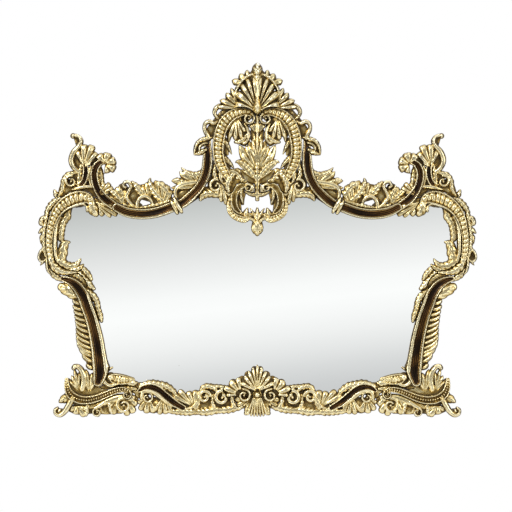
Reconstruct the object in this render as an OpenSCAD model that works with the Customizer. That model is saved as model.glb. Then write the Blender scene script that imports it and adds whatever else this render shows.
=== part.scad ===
// Rococo overmantel mirror: pierced brass castings screwed to a shaped ply ring that holds the glass.
// Front faces -Y and the wall is the plane y = 0. The points of the ornament are millimetres from the
// centre line and from the shelf under the feet, for the right half; the left half is its mirror image.

/* [Overall] */
// Width over the outer frills of the shoulders
overall_w = 1234; // [1200:2:1300]
// Height from the shelf to the top of the bud
overall_h = 994; // [960:2:1060]

/* [Backing] */
// Thickness of the silvered glass
glass_t = 5; // [3:0.5:8]
// Thickness of the soft packing behind the glass
packing_t = 5; // [4:0.5:10]
// Thickness of the back board
board_t = 6; // [4:0.5:12]
// Width of the ply ring behind the castings
ring_w = 20; // [18:1:24]
// Gap between the glass and the ply ring, all round
glass_gap = 1; // [0.5:0.25:2]
// How far the back board stays inside the ring's outer edge
board_inset = 2; // [1:0.5:4]
// Height of the rubber bumpers that keep the board off the wall
bumper_h = 9; // [9:0.5:14]
// Diameter of a rubber bumper
bumper_d = 16; // [10:1:18]

/* [Hangers] */
// Width of the steel strap
strap_w = 16; // [14:1:18]
// Height of the hanger's hinge above the shelf
hinge_z = 528; // [520:1:534]
// Length of the steel strap below its hinge
strap_l = 72; // [66:1:84]
// Thickness of the steel strap
strap_t = 1.5; // [1:0.25:1.75]
// Diameter of the ring's wire
wire_d = 4; // [3:0.25:4.5]
// Length of the ring from its hinge to the middle of its bow
ring_l = 30; // [26:1:36]
// Running clearance around the ring's bar
hinge_gap = 0.06; // [0.03:0.01:0.09]
// Free space between the ring and the strap that it lies over
fold_gap = 0.4; // [0.3:0.1:0.6]

/* [Screws] */
// Diameter of the screws that hold the castings
casting_screw_d = 4; // [3:0.25:5]
// How far a casting screw reaches into its casting
casting_bite = 6; // [4:0.5:7]
// Diameter of the screws that hold the back board and the straps
board_screw_d = 3.5; // [3:0.25:4.5]
// How far a board screw reaches into the ply ring
board_bite = 7; // [5:0.5:8]
// Height of the head of every countersunk screw
head_t = 2; // [1.6:0.2:2.6]
// How much wider a drilled hole is than its screw
hole_gap = 0.3; // [0.1:0.05:0.6]

/* [Relief] */
// Height of the cove mouldings above the ring
moulding_h = 20; // [17:1:26]
// Depth of the dark hollow in the cove mouldings
cove_depth = 10; // [6:1:11]
// Height of the gadrooned scrolls above the ring
scroll_h = 24; // [19:1:30]
// Height of the leaves above the ring
leaf_h = 20; // [16:1:28]
// Height of the crest shell above the ring
shell_h = 40; // [30:1:48]
// Number of ribs along a gadrooned scroll
rib_count = 10; // [8:1:15]
// Width of the brazed seam between two castings
seam = 0.2; // [0.1:0.05:0.4]

/* [Hidden] */

BRASS = "#cdbb7c";
STEEL = "#9a9c9e";

// Width and height at which the ornament is drawn, and how much the frame stretches it
DRAWN = [1234, 994];
stretch_x = overall_w / DRAWN[0];
stretch_z = overall_h / DRAWN[1];

// Levels are heights over the plane that the castings, the glass and the ply ring share
ring_t = glass_t + packing_t;
board_level = -ring_t - board_t;
wall_level = board_level - bumper_h;

// Curves through points

function catmull(a, b, c, d, t) =
    0.5 * (2 * b + (c - a) * t + (2 * a - 5 * b + 4 * c - d) * t * t + (3 * b - a - 3 * c + d) * t * t * t);

function curve_at(c, s) =
    let (last = len(c) - 1, i = min(floor(s), last - 1))
    catmull(c[max(i - 1, 0)], c[i], c[i + 1], c[min(i + 2, last)], s - i);

function curve(c, count) = [for (k = [0 : count]) curve_at(c, k * (len(c) - 1) / count)];

function left_of(v) = [-v[1], v[0]] / norm([v[0], v[1]]);

function turned(v, a) = [v[0] * cos(a) - v[1] * sin(a), v[0] * sin(a) + v[1] * cos(a)];

function neighbours(path, i) = path[min(i + 1, len(path) - 1)] - path[max(i - 1, 0)];

// Sections of the strokes, from the left edge (1) over the top to the right edge (-1)

ROUND = [[1, 0], [0.6, 0.9], [-0.6, 0.9], [-1, 0]];
RIDGE = [[1, 0], [0, 1], [-1, 0]];
cove_floor = 1 - cove_depth / moulding_h;
COVE = [[1, 0], [0.8, 1], [0.4, cove_floor], [-0.4, cove_floor], [-0.8, 1], [-1, 0]];
function rib(lift) = [[1, 0], [0.85, 1], [0.5, lift], [-0.6, lift], [-1, 0]];

// A closed solid through a row of rings that have the same number of points
module loft(rings) {
    sides = len(rings[0]);
    skin = [
        for (i = [0 : len(rings) - 2], j = [0 : sides - 1])
            let (a = i * sides + j, b = i * sides + (j + 1) % sides)
            each [[a, a + sides, b], [b, a + sides, b + sides]]
    ];
    start = [for (j = [0 : sides - 1]) j];
    end = [for (j = [sides - 1 : -1 : 0]) (len(rings) - 1) * sides + j];
    polyhedron([for (ring = rings) each ring], concat(skin, [start, end]), convexity = 4);
}

// A stroke along a path whose rows are [x, z, half width, height]
module sweep(path, sections, slant = 0)
    loft([
        for (i = [0 : len(path) - 1])
            let (p = path[i], across = turned(left_of(neighbours(path, i)), slant) * p[2])
            [for (s = sections[i]) [p[0] + across[0] * s[0], p[1] + across[1] * s[0], s[1] * p[3]]]
    ]);

// A fan of lobes from a root: it has a ridge to each tip, in clockwise order, and valleys between
module fan(root, tips, height = 1, heel = 0.12) {
    ends = [for (t = tips) t - root];
    ridge = [[1, 0], [1, 0.5], [0.68, 1], [heel, 0.5], [heel, 0]];
    valley = [[0.9, 0], [0.9, 0.3], [0.6, 0.62], [heel, 0.4], [heel, 0]];
    loft([
        for (i = [0 : 2 * len(ends) - 2])
            let (end = (ends[floor(i / 2)] + ends[ceil(i / 2)]) / 2)
            [for (s = i % 2 == 0 ? ridge : valley)
                [root[0] + end[0] * s[0], root[1] + end[1] * s[0], s[1] * height]]
    ]);
}

// A row of tips for both sides of the centre line, from left to right
function both_ways(tips) = concat([for (i = [len(tips) - 1 : -1 : 0]) [-tips[i][0], tips[i][1]]], tips);

module stroke(rows, section) sweep(rows, [for (p = rows) section]);

module bead(rows) stroke(rows, ROUND);

module leaf(rows) stroke(rows, RIDGE);

// The low ground between raised strokes
module ground(rows) stroke(rows, RIDGE);

module cove(rows) stroke(rows, COVE);

module gadroon(rows, ribs) {
    path = curve(rows, 2 * ribs);
    sweep(path, [for (i = [0 : len(path) - 1]) rib(i % 2 == 0 ? 0.5 : 0.82)]);
}

// Barbs rise outward from a stem on their right
module feather(rows, barbs) {
    path = curve(rows, 2 * barbs);
    tip = [[1, 0], [1, 0.3], [0.5, 0.9], [-0.1, 1], [-0.25, 0]];
    dip = [[0.7, 0], [0.7, 0.2], [0.35, 0.6], [-0.1, 1], [-0.25, 0]];
    sweep(path, [for (i = [0 : len(path) - 1]) i % 2 == 0 ? dip : tip], 35);
}

module dome(x, z, r, h)
    translate([x, z])
        rotate_extrude($fn = 9)
            polygon([[0, 0], [r, 0], [r * 0.7, h * 0.8], [0, h]]);

// The castings as ornament, lying face up, with their relief from 0 to 1

module crest_shell_form() {
    flutes = [[9, 957], [28, 951], [44, 936], [57, 914], [62, 880]];
    fan([0, 861], both_ways(flutes), 1, 0.18);
    leaf([[0, 858, 10, 0.5], [0, 868, 20, 0.6], [0, 884, 18, 0.6], [0, 900, 6, 0.6]]);
    leaf([[0, 944, 11, 0.8], [0, 962, 14.5, 0.95], [0, 978, 12, 0.9], [0, 994, 2.5, 0.5]]);
    both_sides() {
        bead([[4, 966, 5, 0.7], [28, 957, 5, 0.75], [47, 940, 5, 0.7], [60, 914, 5, 0.7],
              [63, 880, 5, 0.65]]);
        fan([20, 928], [[12, 978], [29, 978], [49, 967], [72, 948]], 0.5);
        fan([46, 867], [[74, 927], [88, 913], [106, 892], [113, 874]], 0.6);
    }
}

module crest_palmette_form() {
    leaf([[0, 612, 6, 0.6], [0, 650, 9, 0.7], [0, 690, 9, 0.9], [0, 740, 6, 0.9]]);
    fan([0, 664], both_ways([[9, 798], [23, 783], [52, 768], [61, 722], [43, 697]]), 1, 0.1);
    bead([[0, 780, 5, 0.7], [0, 830, 6, 0.8], [0, 862, 6, 0.7]]);
    fan([0, 796], [[-16, 828], [16, 828]], 0.7);
    fan([0, 826], [[-15, 855], [15, 855]], 0.7);
    both_sides() {
        leaf([[0, 628, 8, 0.6], [16, 628, 7, 0.6], [34, 636, 4, 0.6]]);
        ground([[4, 664, 9, 0.35], [24, 676, 13, 0.35], [50, 698, 3, 0.3]]);
    }
}

module crest_pendant_form() {
    leaf([[0, 560, 9, 0.8], [0, 574, 8, 0.8], [0, 590, 3, 0.6]]);
    leaf([[0, 556, 8, 0.8], [0, 536, 19, 1], [0, 511, 1.5, 0.5]]);
    both_sides() {
        bead([[30, 657, 5, 0.6], [14, 651, 5.5, 0.7], [13, 637, 5, 0.6], [24, 634, 3, 0.5]]);
        cove([[28, 658, 6, 0.7], [44, 652, 8, 0.85], [57, 640, 8.5, 0.9], [64, 622, 8.5, 0.9],
              [64, 603, 8, 0.9], [59, 587, 7.5, 0.85], [48, 577, 5, 0.7]]);
        leaf([[42, 650, 6, 0.6], [46, 624, 7, 0.7], [40, 602, 1.5, 0.5]]);
        gadroon([[76, 622, 4, 0.6], [80, 600, 6.5, 0.75], [76, 580, 8, 0.85], [65, 567, 8.5, 0.9],
                 [48, 559, 9, 0.9], [34, 557, 8.5, 0.85], [22, 563, 5, 0.6]], 6);
        leaf([[34, 564, 7, 0.6], [32, 576, 9, 0.7], [27, 590, 2, 0.5]]);
        leaf([[14, 570, 8, 0.45], [40, 570, 10, 0.5], [62, 580, 10, 0.5], [72, 604, 7, 0.4]]);
        leaf([[0, 558, 10, 0.7], [20, 589, 1.5, 0.5]]);
        leaf([[27, 561, 5, 0.6], [13, 558, 6, 0.7], [4, 544, 6, 0.65]]);
    }
}

module crest_scroll_form() {
    gadroon([[15, 852, 8, 0.7], [28, 860, 10, 0.8], [50, 858, 14, 0.9], [72, 849, 16, 0.95],
             [90, 831, 17, 1], [102, 806, 17, 1], [108, 780, 17, 1], [110, 755, 16, 1],
             [108, 730, 16, 0.95], [101, 708, 15, 0.9], [90, 688, 13, 0.85], [80, 670, 9, 0.8]], rib_count);
    bead([[15, 854, 5, 0.8], [9, 842, 4.5, 0.8], [14, 829, 4.5, 0.75], [26, 824, 4.5, 0.7],
          [38, 829, 3, 0.6]]);
    dome(26, 840, 9, 0.9);
    leaf([[48, 848, 7, 0.5], [52, 820, 9, 0.6], [55, 800, 6, 0.55], [57, 785, 1.5, 0.4]]);
    leaf([[68, 842, 8, 0.5], [75, 815, 11, 0.6], [79, 792, 8, 0.6], [79, 775, 1.5, 0.4]]);
    leaf([[98, 792, 8, 0.5], [89, 774, 9, 0.6], [80, 758, 6, 0.5], [72, 741, 1.5, 0.4]]);
    leaf([[98, 738, 8, 0.5], [86, 724, 9, 0.6], [74, 712, 6, 0.5], [66, 701, 1.5, 0.4]]);
    bead([[50, 826, 4, 0.5], [37, 822, 4.5, 0.6], [24, 811, 5, 0.65], [20, 795, 5, 0.65], [24, 778, 5, 0.6],
          [35, 769, 4.5, 0.6], [46, 774, 2.5, 0.5]]);
    leaf([[90, 692, 8, 0.7], [70, 692, 9, 0.65], [54, 684, 8, 0.6], [45, 670, 6, 0.5], [44, 660, 2, 0.4]]);
    dome(56, 674, 9, 0.7);
    ground([[33, 850, 8, 0.35], [45, 824, 21, 0.35], [47, 798, 23, 0.35], [36, 770, 8, 0.35]]);
    ground([[58, 690, 7, 0.35], [68, 674, 13, 0.35], [73, 656, 13, 0.35], [72, 638, 6, 0.35]]);
}

module crest_frill_form() {
    bead([[84, 868, 5, 0.6], [100, 877, 7, 0.8], [115, 870, 7, 0.8], [120, 857, 6, 0.7], [114, 845, 5, 0.6],
          [105, 838, 3.5, 0.5]]);
    bead([[108, 834, 4, 0.6], [121, 827, 6, 0.8], [135, 832, 7, 1], [146, 826, 6, 0.9], [148, 812, 6, 0.8],
          [142, 798, 7, 0.8], [135, 786, 6, 0.7]]);
    leaf([[126, 788, 4, 0.6], [142, 784, 8, 0.8], [158, 780, 7, 0.9], [170, 769, 6, 0.9],
          [175, 754, 5, 0.8], [177, 741, 2, 0.6]]);
    leaf([[140, 772, 5, 0.6], [152, 770, 5, 0.7], [162, 760, 5, 0.8], [160, 747, 4, 0.7],
          [151, 744, 3, 0.6]]);
    leaf([[143, 754, 7, 0.5], [158, 746, 9, 0.6], [177, 740, 2.5, 0.5]]);
    ground([[94, 864, 6, 0.35], [112, 838, 9, 0.35], [129, 808, 14, 0.35], [138, 784, 9, 0.35]]);
}

module crest_rail_form()
    cove([[134, 788, 5, 0.7], [139, 766, 10, 0.85], [139, 742, 13, 0.95], [140, 718, 14.5, 1],
          [143, 695, 14.5, 1], [150, 672, 14, 1], [163, 648, 13.5, 1], [182, 627, 14, 1], [206, 606, 14, 1],
          [226, 596, 13, 1]]);

module crest_spray_form() {
    fan([152, 648], [[163, 694], [192, 695], [219, 693], [242, 666], [243, 646]], 0.8, 0.15);
    bead([[166, 663, 8, 0.8], [196, 659, 8, 0.9], [219, 652, 7.5, 1], [230, 636, 6.5, 1],
          [227, 614, 5, 0.7]]);
    leaf([[180, 646, 14, 0.4], [204, 634, 19, 0.45], [222, 620, 9, 0.4]]);
}

module crest_wing_form() {
    fan([104, 674], [[112, 622], [101, 606], [87, 598], [74, 620]], 0.8);
    bead([[106, 664, 6, 0.7], [122, 672, 6, 0.8], [133, 661, 6, 0.9], [131, 645, 6, 0.8],
          [112, 628, 5, 0.6]]);
    ground([[126, 722, 4, 0.4], [121, 700, 10, 0.4], [116, 678, 17, 0.4], [124, 654, 16, 0.4],
            [114, 634, 9, 0.4]]);
    leaf([[104, 626, 10, 0.7], [134, 631, 13, 0.8], [152, 626, 12, 0.8], [160, 613, 5, 0.7]]);
    leaf([[126, 640, 6, 0.4], [148, 642, 10, 0.4], [172, 634, 8, 0.4]]);
}

module rail_collar_form() {
    bead([[212, 577, 4, 0.7], [219, 590, 8, 0.9], [227, 604, 8, 1], [234, 619, 4, 0.8]]);
    bead([[224, 575, 5, 0.6], [230, 587, 7, 0.8], [237, 601, 7, 0.9], [242, 610, 4, 0.7]]);
}

module top_rail_form()
    cove([[228, 596, 14, 0.9], [244, 591, 15, 1], [265, 583, 15, 1], [290, 576, 15, 1], [320, 573, 15, 1],
          [350, 575, 15, 1], [374, 581, 14, 1], [396, 592, 13, 1]]);

module rail_leaves_form() {
    leaf([[238, 613, 5, 0.7], [262, 604, 7, 0.8], [290, 597, 8, 0.8], [320, 591, 6, 0.7],
          [348, 592, 6, 0.7], [374, 600, 7, 0.8]]);
    fan([268, 588], [[236, 640], [247, 653], [266, 662], [286, 668], [304, 665]], 0.8, 0.2);
    fan([302, 604], [[296, 664], [312, 662], [325, 650]], 0.8, 0.1);
    ground([[246, 616, 8, 0.4], [268, 624, 22, 0.45], [296, 632, 26, 0.45], [330, 634, 20, 0.4],
            [356, 622, 12, 0.4]]);
    bead([[294, 602, 5, 0.7], [304, 619, 6, 0.8], [320, 623, 6, 0.9], [334, 611, 6.5, 1],
          [338, 588, 6, 0.8]]);
    fan([349, 586], [[325, 646], [338, 658], [352, 664]], 0.8, 0.2);
    bead([[367, 598, 6, 0.7], [364, 622, 5, 0.8], [363, 648, 5, 0.8], [377, 662, 5, 0.7],
          [385, 651, 3, 0.5]]);
    fan([366, 596], [[372, 642], [396, 649], [418, 644], [423, 622]], 0.8);
    ground([[360, 630, 6, 0.4], [376, 624, 20, 0.45], [400, 620, 20, 0.45], [418, 618, 10, 0.4]]);
}

module ear_hook_form() {
    cove([[392, 590, 12, 0.9], [410, 602, 13, 1], [430, 618, 13.5, 1], [446, 640, 12, 1],
          [455, 664, 11.5, 1], [457, 688, 11.5, 1], [450, 708, 10.5, 1], [437, 718, 8, 0.9],
          [425, 716, 5, 0.8]]);
    fan([436, 712], [[409, 693], [402, 713], [411, 736], [434, 744], [455, 735], [463, 714]], 0.9);
    fan([444, 626], [[414, 632], [404, 646], [414, 660], [430, 661]], 0.8);
    leaf([[432, 648, 6, 0.5], [438, 668, 9, 0.6], [440, 690, 9, 0.6], [442, 708, 4, 0.5]]);
    fan([462, 608], [[453, 571], [431, 569], [411, 565], [394, 569], [402, 592]], 0.8, 0.05);
    leaf([[418, 596, 10, 0.4], [440, 606, 13, 0.45], [464, 612, 9, 0.4]]);
}

module ear_flame_form() {
    bead([[466, 650, 5, 0.6], [471, 682, 6, 0.7], [464, 714, 5, 0.6]]);
    cove([[510, 651, 5, 0.6], [492, 657, 8, 0.8], [483, 676, 9, 0.9], [481, 700, 9, 0.9],
          [487, 722, 6, 0.8]]);
    leaf([[502, 652, 8, 0.6], [499, 682, 9, 0.7], [494, 712, 6, 0.6]]);
    fan([484, 706], [[454, 726], [453, 752], [468, 768], [490, 766], [513, 754], [525, 732], [510, 702]], 1);
    bead([[487, 758, 6, 0.7], [494, 782, 6, 0.8], [509, 795, 6, 0.8], [526, 789, 1.5, 0.5]]);
    bead([[496, 690, 5, 0.5], [515, 688, 5.5, 0.7], [533, 682, 6, 0.8], [544, 664, 6.5, 0.8],
          [546, 638, 6, 0.7], [560, 621, 4, 0.5]]);
    leaf([[504, 662, 7, 0.6], [518, 674, 8, 0.8], [524, 655, 7, 0.7]]);
    bead([[450, 648, 5, 0.8], [475, 650, 6, 0.8], [500, 646, 6.5, 0.8], [520, 641, 3, 0.6]]);
    ground([[452, 634, 7, 0.35], [490, 644, 11, 0.35], [530, 652, 19, 0.35], [552, 626, 9, 0.35]]);
}

module shoulder_scroll_form() {
    gadroon([[464, 602, 9, 0.8], [474, 616, 14, 0.95], [496, 619, 20, 1], [520, 612, 20.5, 1],
             [542, 599, 18.5, 1], [561, 579, 16, 1], [573, 554, 13, 1], [580, 526, 11, 0.95],
             [583, 498, 10, 0.95], [582, 470, 9.5, 0.9], [578, 446, 8, 0.8]], rib_count);
    leaf([[470, 606, 11, 0.8], [463, 592, 17, 0.9], [457, 580, 15, 0.8], [451, 571, 6, 0.6]]);
    bead([[488, 602, 4, 0.7], [479, 595, 4, 0.7], [477, 585, 5, 0.8], [478, 580, 3, 0.6]]);
    leaf([[580, 454, 8, 0.8], [575, 434, 13, 0.9], [560, 417, 14, 0.9], [538, 409, 10, 0.8],
          [508, 409, 5, 0.6]]);
}

module shoulder_leaves_form() {
    leaf([[520, 592, 3, 0.5], [530, 582, 9, 0.6], [535, 566, 13, 0.65], [546, 548, 12, 0.7],
          [551, 528, 12, 0.75], [552, 508, 11, 0.75], [548, 498, 7, 0.6]]);
    bead([[552, 566, 5, 0.8], [562, 543, 6, 0.9], [566, 518, 6.5, 1], [567, 490, 6.5, 1],
          [566, 462, 6, 0.9], [560, 438, 6, 0.8]]);
    leaf([[527, 494, 3, 0.5], [539, 491, 10, 0.7], [545, 478, 15, 0.75], [549, 460, 17, 0.8],
          [552, 442, 15, 0.8]]);
    leaf([[560, 444, 10, 0.8], [546, 433, 15, 0.85], [528, 426, 14, 0.75], [511, 429, 10, 0.7],
          [501, 438, 6, 0.6], [496, 447, 2, 0.4]]);
    leaf([[540, 412, 8, 0.6], [514, 416, 9, 0.7], [498, 422, 8, 0.6], [488, 432, 2, 0.4]]);
}

module shoulder_frill_form() {
    leaf([[546, 624, 8, 0.6], [563, 611, 11, 0.8], [577, 598, 12, 0.8], [587, 584, 10, 0.7],
          [593, 570, 7, 0.6]]);
    leaf([[554, 618, 7, 0.5], [564, 627, 9, 0.6], [570, 640, 3, 0.4]]);
    bead([[588, 580, 5, 0.7], [590, 560, 6, 0.8], [595, 535, 6, 0.8], [598, 510, 6, 0.8],
          [597, 485, 6, 0.8], [594, 462, 6, 0.7], [586, 442, 5, 0.6]]);
    leaf([[592, 566, 6, 0.6], [602, 559, 9, 0.8], [606, 549, 9, 0.8], [600, 541, 5, 0.6]]);
    leaf([[594, 534, 9, 0.6], [604, 527, 8, 0.6], [614, 519, 2, 0.4]]);
    leaf([[598, 516, 8, 0.6], [605, 507, 7, 0.6], [607, 490, 2, 0.5]]);
    bead([[596, 478, 4, 0.6], [606, 470, 4.5, 0.8], [611, 461, 4.5, 0.8], [612.6, 450, 4.5, 0.8],
          [607, 441, 4.5, 0.7], [598, 441, 4, 0.6]]);
    leaf([[594, 446, 5, 0.6], [602, 437, 4, 0.6], [609, 429, 1.2, 0.4]]);
    leaf([[590, 446, 5, 0.6], [590, 430, 6, 0.7], [587, 414, 5, 0.6], [578, 402, 2, 0.4]]);
}

module leg_channel_form() {
    cove([[548, 392, 7, 0.7], [526, 385, 12, 0.85], [506, 370, 16, 0.95], [489, 345, 18, 1],
          [478, 315, 18, 1], [467, 285, 18, 1], [458, 252, 18.5, 1], [451, 220, 19.5, 1], [446, 188, 20, 1],
          [442, 156, 21.5, 1], [440, 128, 21, 1], [447, 100, 14, 0.8]]);
    leaf([[586, 422, 4, 0.6], [575, 407, 10, 0.7], [562, 396, 10, 0.7], [549, 388, 6, 0.5]]);
    leaf([[480, 372, 6, 0.4], [494, 391, 9, 0.5], [514, 402, 9, 0.5], [538, 403, 4, 0.5]]);
}

module leg_wave_form() {
    leaf([[500, 408, 9, 0.7], [488, 392, 11, 0.9], [474, 376, 12, 1], [458, 362, 5, 0.8]]);
    leaf([[494, 426, 5, 0.6], [484, 414, 9, 0.7], [474, 402, 9, 0.7], [466, 388, 5, 0.5]]);
    leaf([[480, 360, 8, 0.8], [463, 345, 11, 0.9], [452, 328, 10, 0.9], [447, 306, 9, 0.8],
          [441, 286, 9, 0.8], [437, 270, 4, 0.6]]);
}

module leg_feather_form() {
    feather([[501, 344, 13, 0.9], [493, 312, 22, 1], [484, 282, 26, 1], [475, 250, 32.5, 1],
             [470, 218, 38, 1], [467, 190, 40, 1], [465, 168, 32, 0.9], [464, 134, 10, 0.7]], 12);
    leaf([[498, 336, 9, 0.8], [518, 350, 17, 0.9], [536, 363, 19, 0.9], [549, 368, 13, 0.6]]);
}

module foot_scroll_form() {
    gadroon([[535, 110, 5, 0.7], [533, 88, 8.5, 0.85], [524, 68, 11.5, 0.95], [502, 54, 12.5, 1],
             [476, 51, 12, 1], [450, 56, 11, 0.95], [425, 66, 10, 0.9], [400, 76, 9, 0.9],
             [380, 80, 8, 0.8], [366, 78, 6, 0.7], [356, 70, 5, 0.6]], rib_count);
    dome(364, 66, 9, 0.8);
    leaf([[340, 82, 6, 0.4], [362, 84, 9, 0.45], [388, 88, 7, 0.4], [408, 80, 4, 0.4]]);
    leaf([[526, 64, 14, 0.5], [541, 54, 13, 0.5], [551, 48, 7, 0.45], [556, 44, 2, 0.35]]);
    bead([[518, 56, 9, 0.7], [530, 34, 10, 0.8], [542, 17, 10, 0.85], [557, 8, 8, 0.8], [569, 16, 6, 0.7],
          [561, 29, 3, 0.5]]);
}

module foot_flame_form() {
    leaf([[490, 80, 8, 0.6], [485, 114, 10, 0.8], [493, 138, 8, 0.8], [508, 149, 5, 0.7],
          [519, 141, 2, 0.4]]);
    fan([500, 74], [[498, 132], [514, 138], [522, 120], [526, 104]], 0.7);
    fan([470, 72], [[452, 106], [462, 128], [482, 138], [488, 110]], 0.8);
    ground([[408, 88, 5, 0.5], [432, 80, 13, 0.5], [466, 75, 17, 0.5], [502, 78, 17, 0.5],
            [521, 92, 12, 0.5], [531, 108, 5, 0.4]]);
}

module foot_curl_form() {
    leaf([[338, 98, 5, 0.6], [352, 97, 11, 0.8], [368, 97, 6, 0.6]]);
    gadroon([[350, 106, 8, 0.7], [372, 108, 13, 0.9], [390, 109, 16, 0.95], [402, 112, 14, 0.9]], 5);
    bead([[388, 98, 6, 0.7], [412, 92, 6, 0.9], [429, 104, 7, 1], [430, 126, 7, 1], [407, 142, 3, 0.6]]);
    dome(412, 115, 14, 1);
    leaf([[370, 92, 6, 0.5], [396, 94, 10, 0.6], [421, 98, 12, 0.6], [437, 110, 8, 0.5]]);
}

module foot_lobes_form() {
    bead([[506, 30, 5, 0.5], [470, 32, 8, 0.6], [430, 44, 10, 0.7], [390, 56, 12, 0.7], [352, 56, 12, 0.7]]);
    fan([506, 36], [[526, 24], [510, 10], [480, 6], [470, 20]], 0.7);
    fan([448, 50], [[462, 12], [448, 3], [434, 12]], 0.8);
    fan([388, 64], [[420, 26], [406, 10], [384, 12]], 0.8);
    fan([368, 56], [[384, 18], [366, 6], [346, 14], [336, 38], [342, 58]], 0.9);
    ground([[528, 24, 6, 0.4], [500, 25, 16, 0.4], [462, 26, 14, 0.4], [424, 28, 18, 0.4],
            [388, 26, 14, 0.4]]);
}

module base_shell_form() {
    fan([0, 44], both_ways([[9, 146], [28, 132], [50, 116], [76, 106], [96, 84]]), 1, 0.1);
    fan([0, 80], [[25, 7], [9, 6], [-9, 6], [-25, 7]], 0.8, 0.2);
    both_sides() {
        bead([[46, 44, 6, 0.6], [26, 56, 6, 0.7], [32, 84, 6.5, 0.8], [52, 70, 6, 0.7]]);
        fan([14, 58], [[62, 52], [58, 32], [40, 32]], 0.7);
        leaf([[18, 51, 11, 0.55], [36, 51, 11, 0.55], [58, 51, 9, 0.5]]);
        leaf([[20, 46, 7, 0.6], [27, 30, 9, 0.6], [32, 12, 6, 0.5]]);
    }
}

module base_rail_form() {
    bead([[38, 34, 7, 0.6], [74, 27, 11, 0.7], [120, 21, 11, 0.8], [164, 18, 10, 0.7], [208, 18, 10, 0.7],
          [250, 20, 7, 0.6]]);
    leaf([[96, 38, 6, 0.7], [89, 60, 6.5, 0.8], [108, 76, 6.5, 0.8], [124, 50, 6, 0.6]]);
    fan([112, 62], [[99, 90], [123, 93], [155, 97]], 0.8);
    leaf([[153, 88, 6, 0.6], [147, 62, 7, 0.8], [160, 38, 7, 0.8], [194, 26, 6, 0.6]]);
    fan([176, 30], [[154, 66], [172, 79], [196, 75], [220, 79], [238, 66]], 0.8);
    ground([[58, 58, 18, 0.4], [90, 54, 24, 0.4], [122, 54, 26, 0.4], [154, 55, 24, 0.4],
            [184, 50, 22, 0.4], [212, 50, 19, 0.4], [234, 58, 13, 0.4], [252, 68, 6, 0.4]]);
    cove([[206, 28, 9, 0.8], [231, 42, 11, 0.95], [252, 59, 11.5, 1], [273, 77, 11.5, 1],
          [295, 87, 11.5, 1], [317, 86, 9, 0.9], [333, 76, 5, 0.7]]);
    bead([[240, 34, 7, 0.7], [268, 56, 7, 0.8], [300, 77, 7, 0.85], [320, 73, 7, 0.85], [325, 54, 6, 0.7]]);
    dome(307, 60, 12, 0.8);
    fan([264, 62], [[288, 22], [276, 10], [256, 11], [238, 13]], 0.7);
    fan([306, 62], [[336, 42], [331, 22], [312, 13], [290, 17]], 0.7);
    leaf([[322, 46, 10, 0.4], [302, 38, 22, 0.45], [276, 34, 22, 0.45], [252, 26, 12, 0.4]]);
    ground([[310, 78, 16, 0.4], [330, 82, 18, 0.4], [352, 82, 10, 0.4]]);
    gadroon([[226, 64, 5, 0.6], [238, 77, 10, 0.8], [256, 89, 12, 1], [276, 95, 11, 1], [298, 99, 10, 1],
             [316, 95, 8, 0.9], [332, 89, 5, 0.7]], 6);
}

module form(name) scale([stretch_x, stretch_z, 1]) {
    if (name == "crest_shell") crest_shell_form();
    if (name == "crest_palmette") crest_palmette_form();
    if (name == "crest_pendant") crest_pendant_form();
    if (name == "base_shell") base_shell_form();
    if (name == "crest_scroll") crest_scroll_form();
    if (name == "crest_frill") crest_frill_form();
    if (name == "crest_rail") crest_rail_form();
    if (name == "crest_spray") crest_spray_form();
    if (name == "crest_wing") crest_wing_form();
    if (name == "rail_collar") rail_collar_form();
    if (name == "top_rail") top_rail_form();
    if (name == "rail_leaves") rail_leaves_form();
    if (name == "ear_hook") ear_hook_form();
    if (name == "ear_flame") ear_flame_form();
    if (name == "shoulder_scroll") shoulder_scroll_form();
    if (name == "shoulder_leaves") shoulder_leaves_form();
    if (name == "shoulder_frill") shoulder_frill_form();
    if (name == "leg_channel") leg_channel_form();
    if (name == "leg_wave") leg_wave_form();
    if (name == "leg_feather") leg_feather_form();
    if (name == "foot_scroll") foot_scroll_form();
    if (name == "foot_flame") foot_flame_form();
    if (name == "foot_curl") foot_curl_form();
    if (name == "foot_lobes") foot_lobes_form();
    if (name == "base_rail") base_rail_form();
}

// The outline of the glass, right half, from the top centre round to the bottom centre
GLASS = [
    [0, 556], [30, 555], [55, 561], [72, 577], [80, 599], [94, 614], [114, 625], [136, 628], [160, 620],
    [184, 604], [206, 594], [232, 585], [260, 577], [290, 570], [320, 567], [350, 569], [380, 575], [406, 582],
    [430, 587], [452, 591], [476, 599], [500, 604], [522, 600], [540, 587], [552, 567], [558, 543], [561, 515],
    [561, 490], [561, 465], [556, 444], [544, 431], [522, 420], [502, 408], [487, 389], [476, 363], [468, 336],
    [459, 306], [451, 276], [445, 246], [439, 214], [435, 182], [431, 150], [421, 126], [402, 108], [380, 96],
    [354, 91], [320, 91], [284, 84], [252, 75], [220, 71], [180, 68], [140, 70], [100, 76], [50, 78], [0, 78],
];

// A place on the middle of the ply ring, given by its rank along the outline
function on_ring(rank) =
    let (
        p = curve_at(GLASS, rank),
        way = curve_at(GLASS, min(rank + 0.1, len(GLASS) - 1)) - curve_at(GLASS, max(rank - 0.1, 0)),
        out = left_of([way[0] * stretch_x, way[1] * stretch_z])
    )
    [p[0] * stretch_x, p[1] * stretch_z] + out * (glass_gap + ring_w / 2);

module glass_outline() {
    half = [for (p = curve(GLASS, 2 * (len(GLASS) - 1))) [p[0] * stretch_x, p[1] * stretch_z]];
    other = [for (i = [len(half) - 2 : -1 : 1]) [-half[i][0], half[i][1]]];
    polygon(concat(half, other));
}

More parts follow.
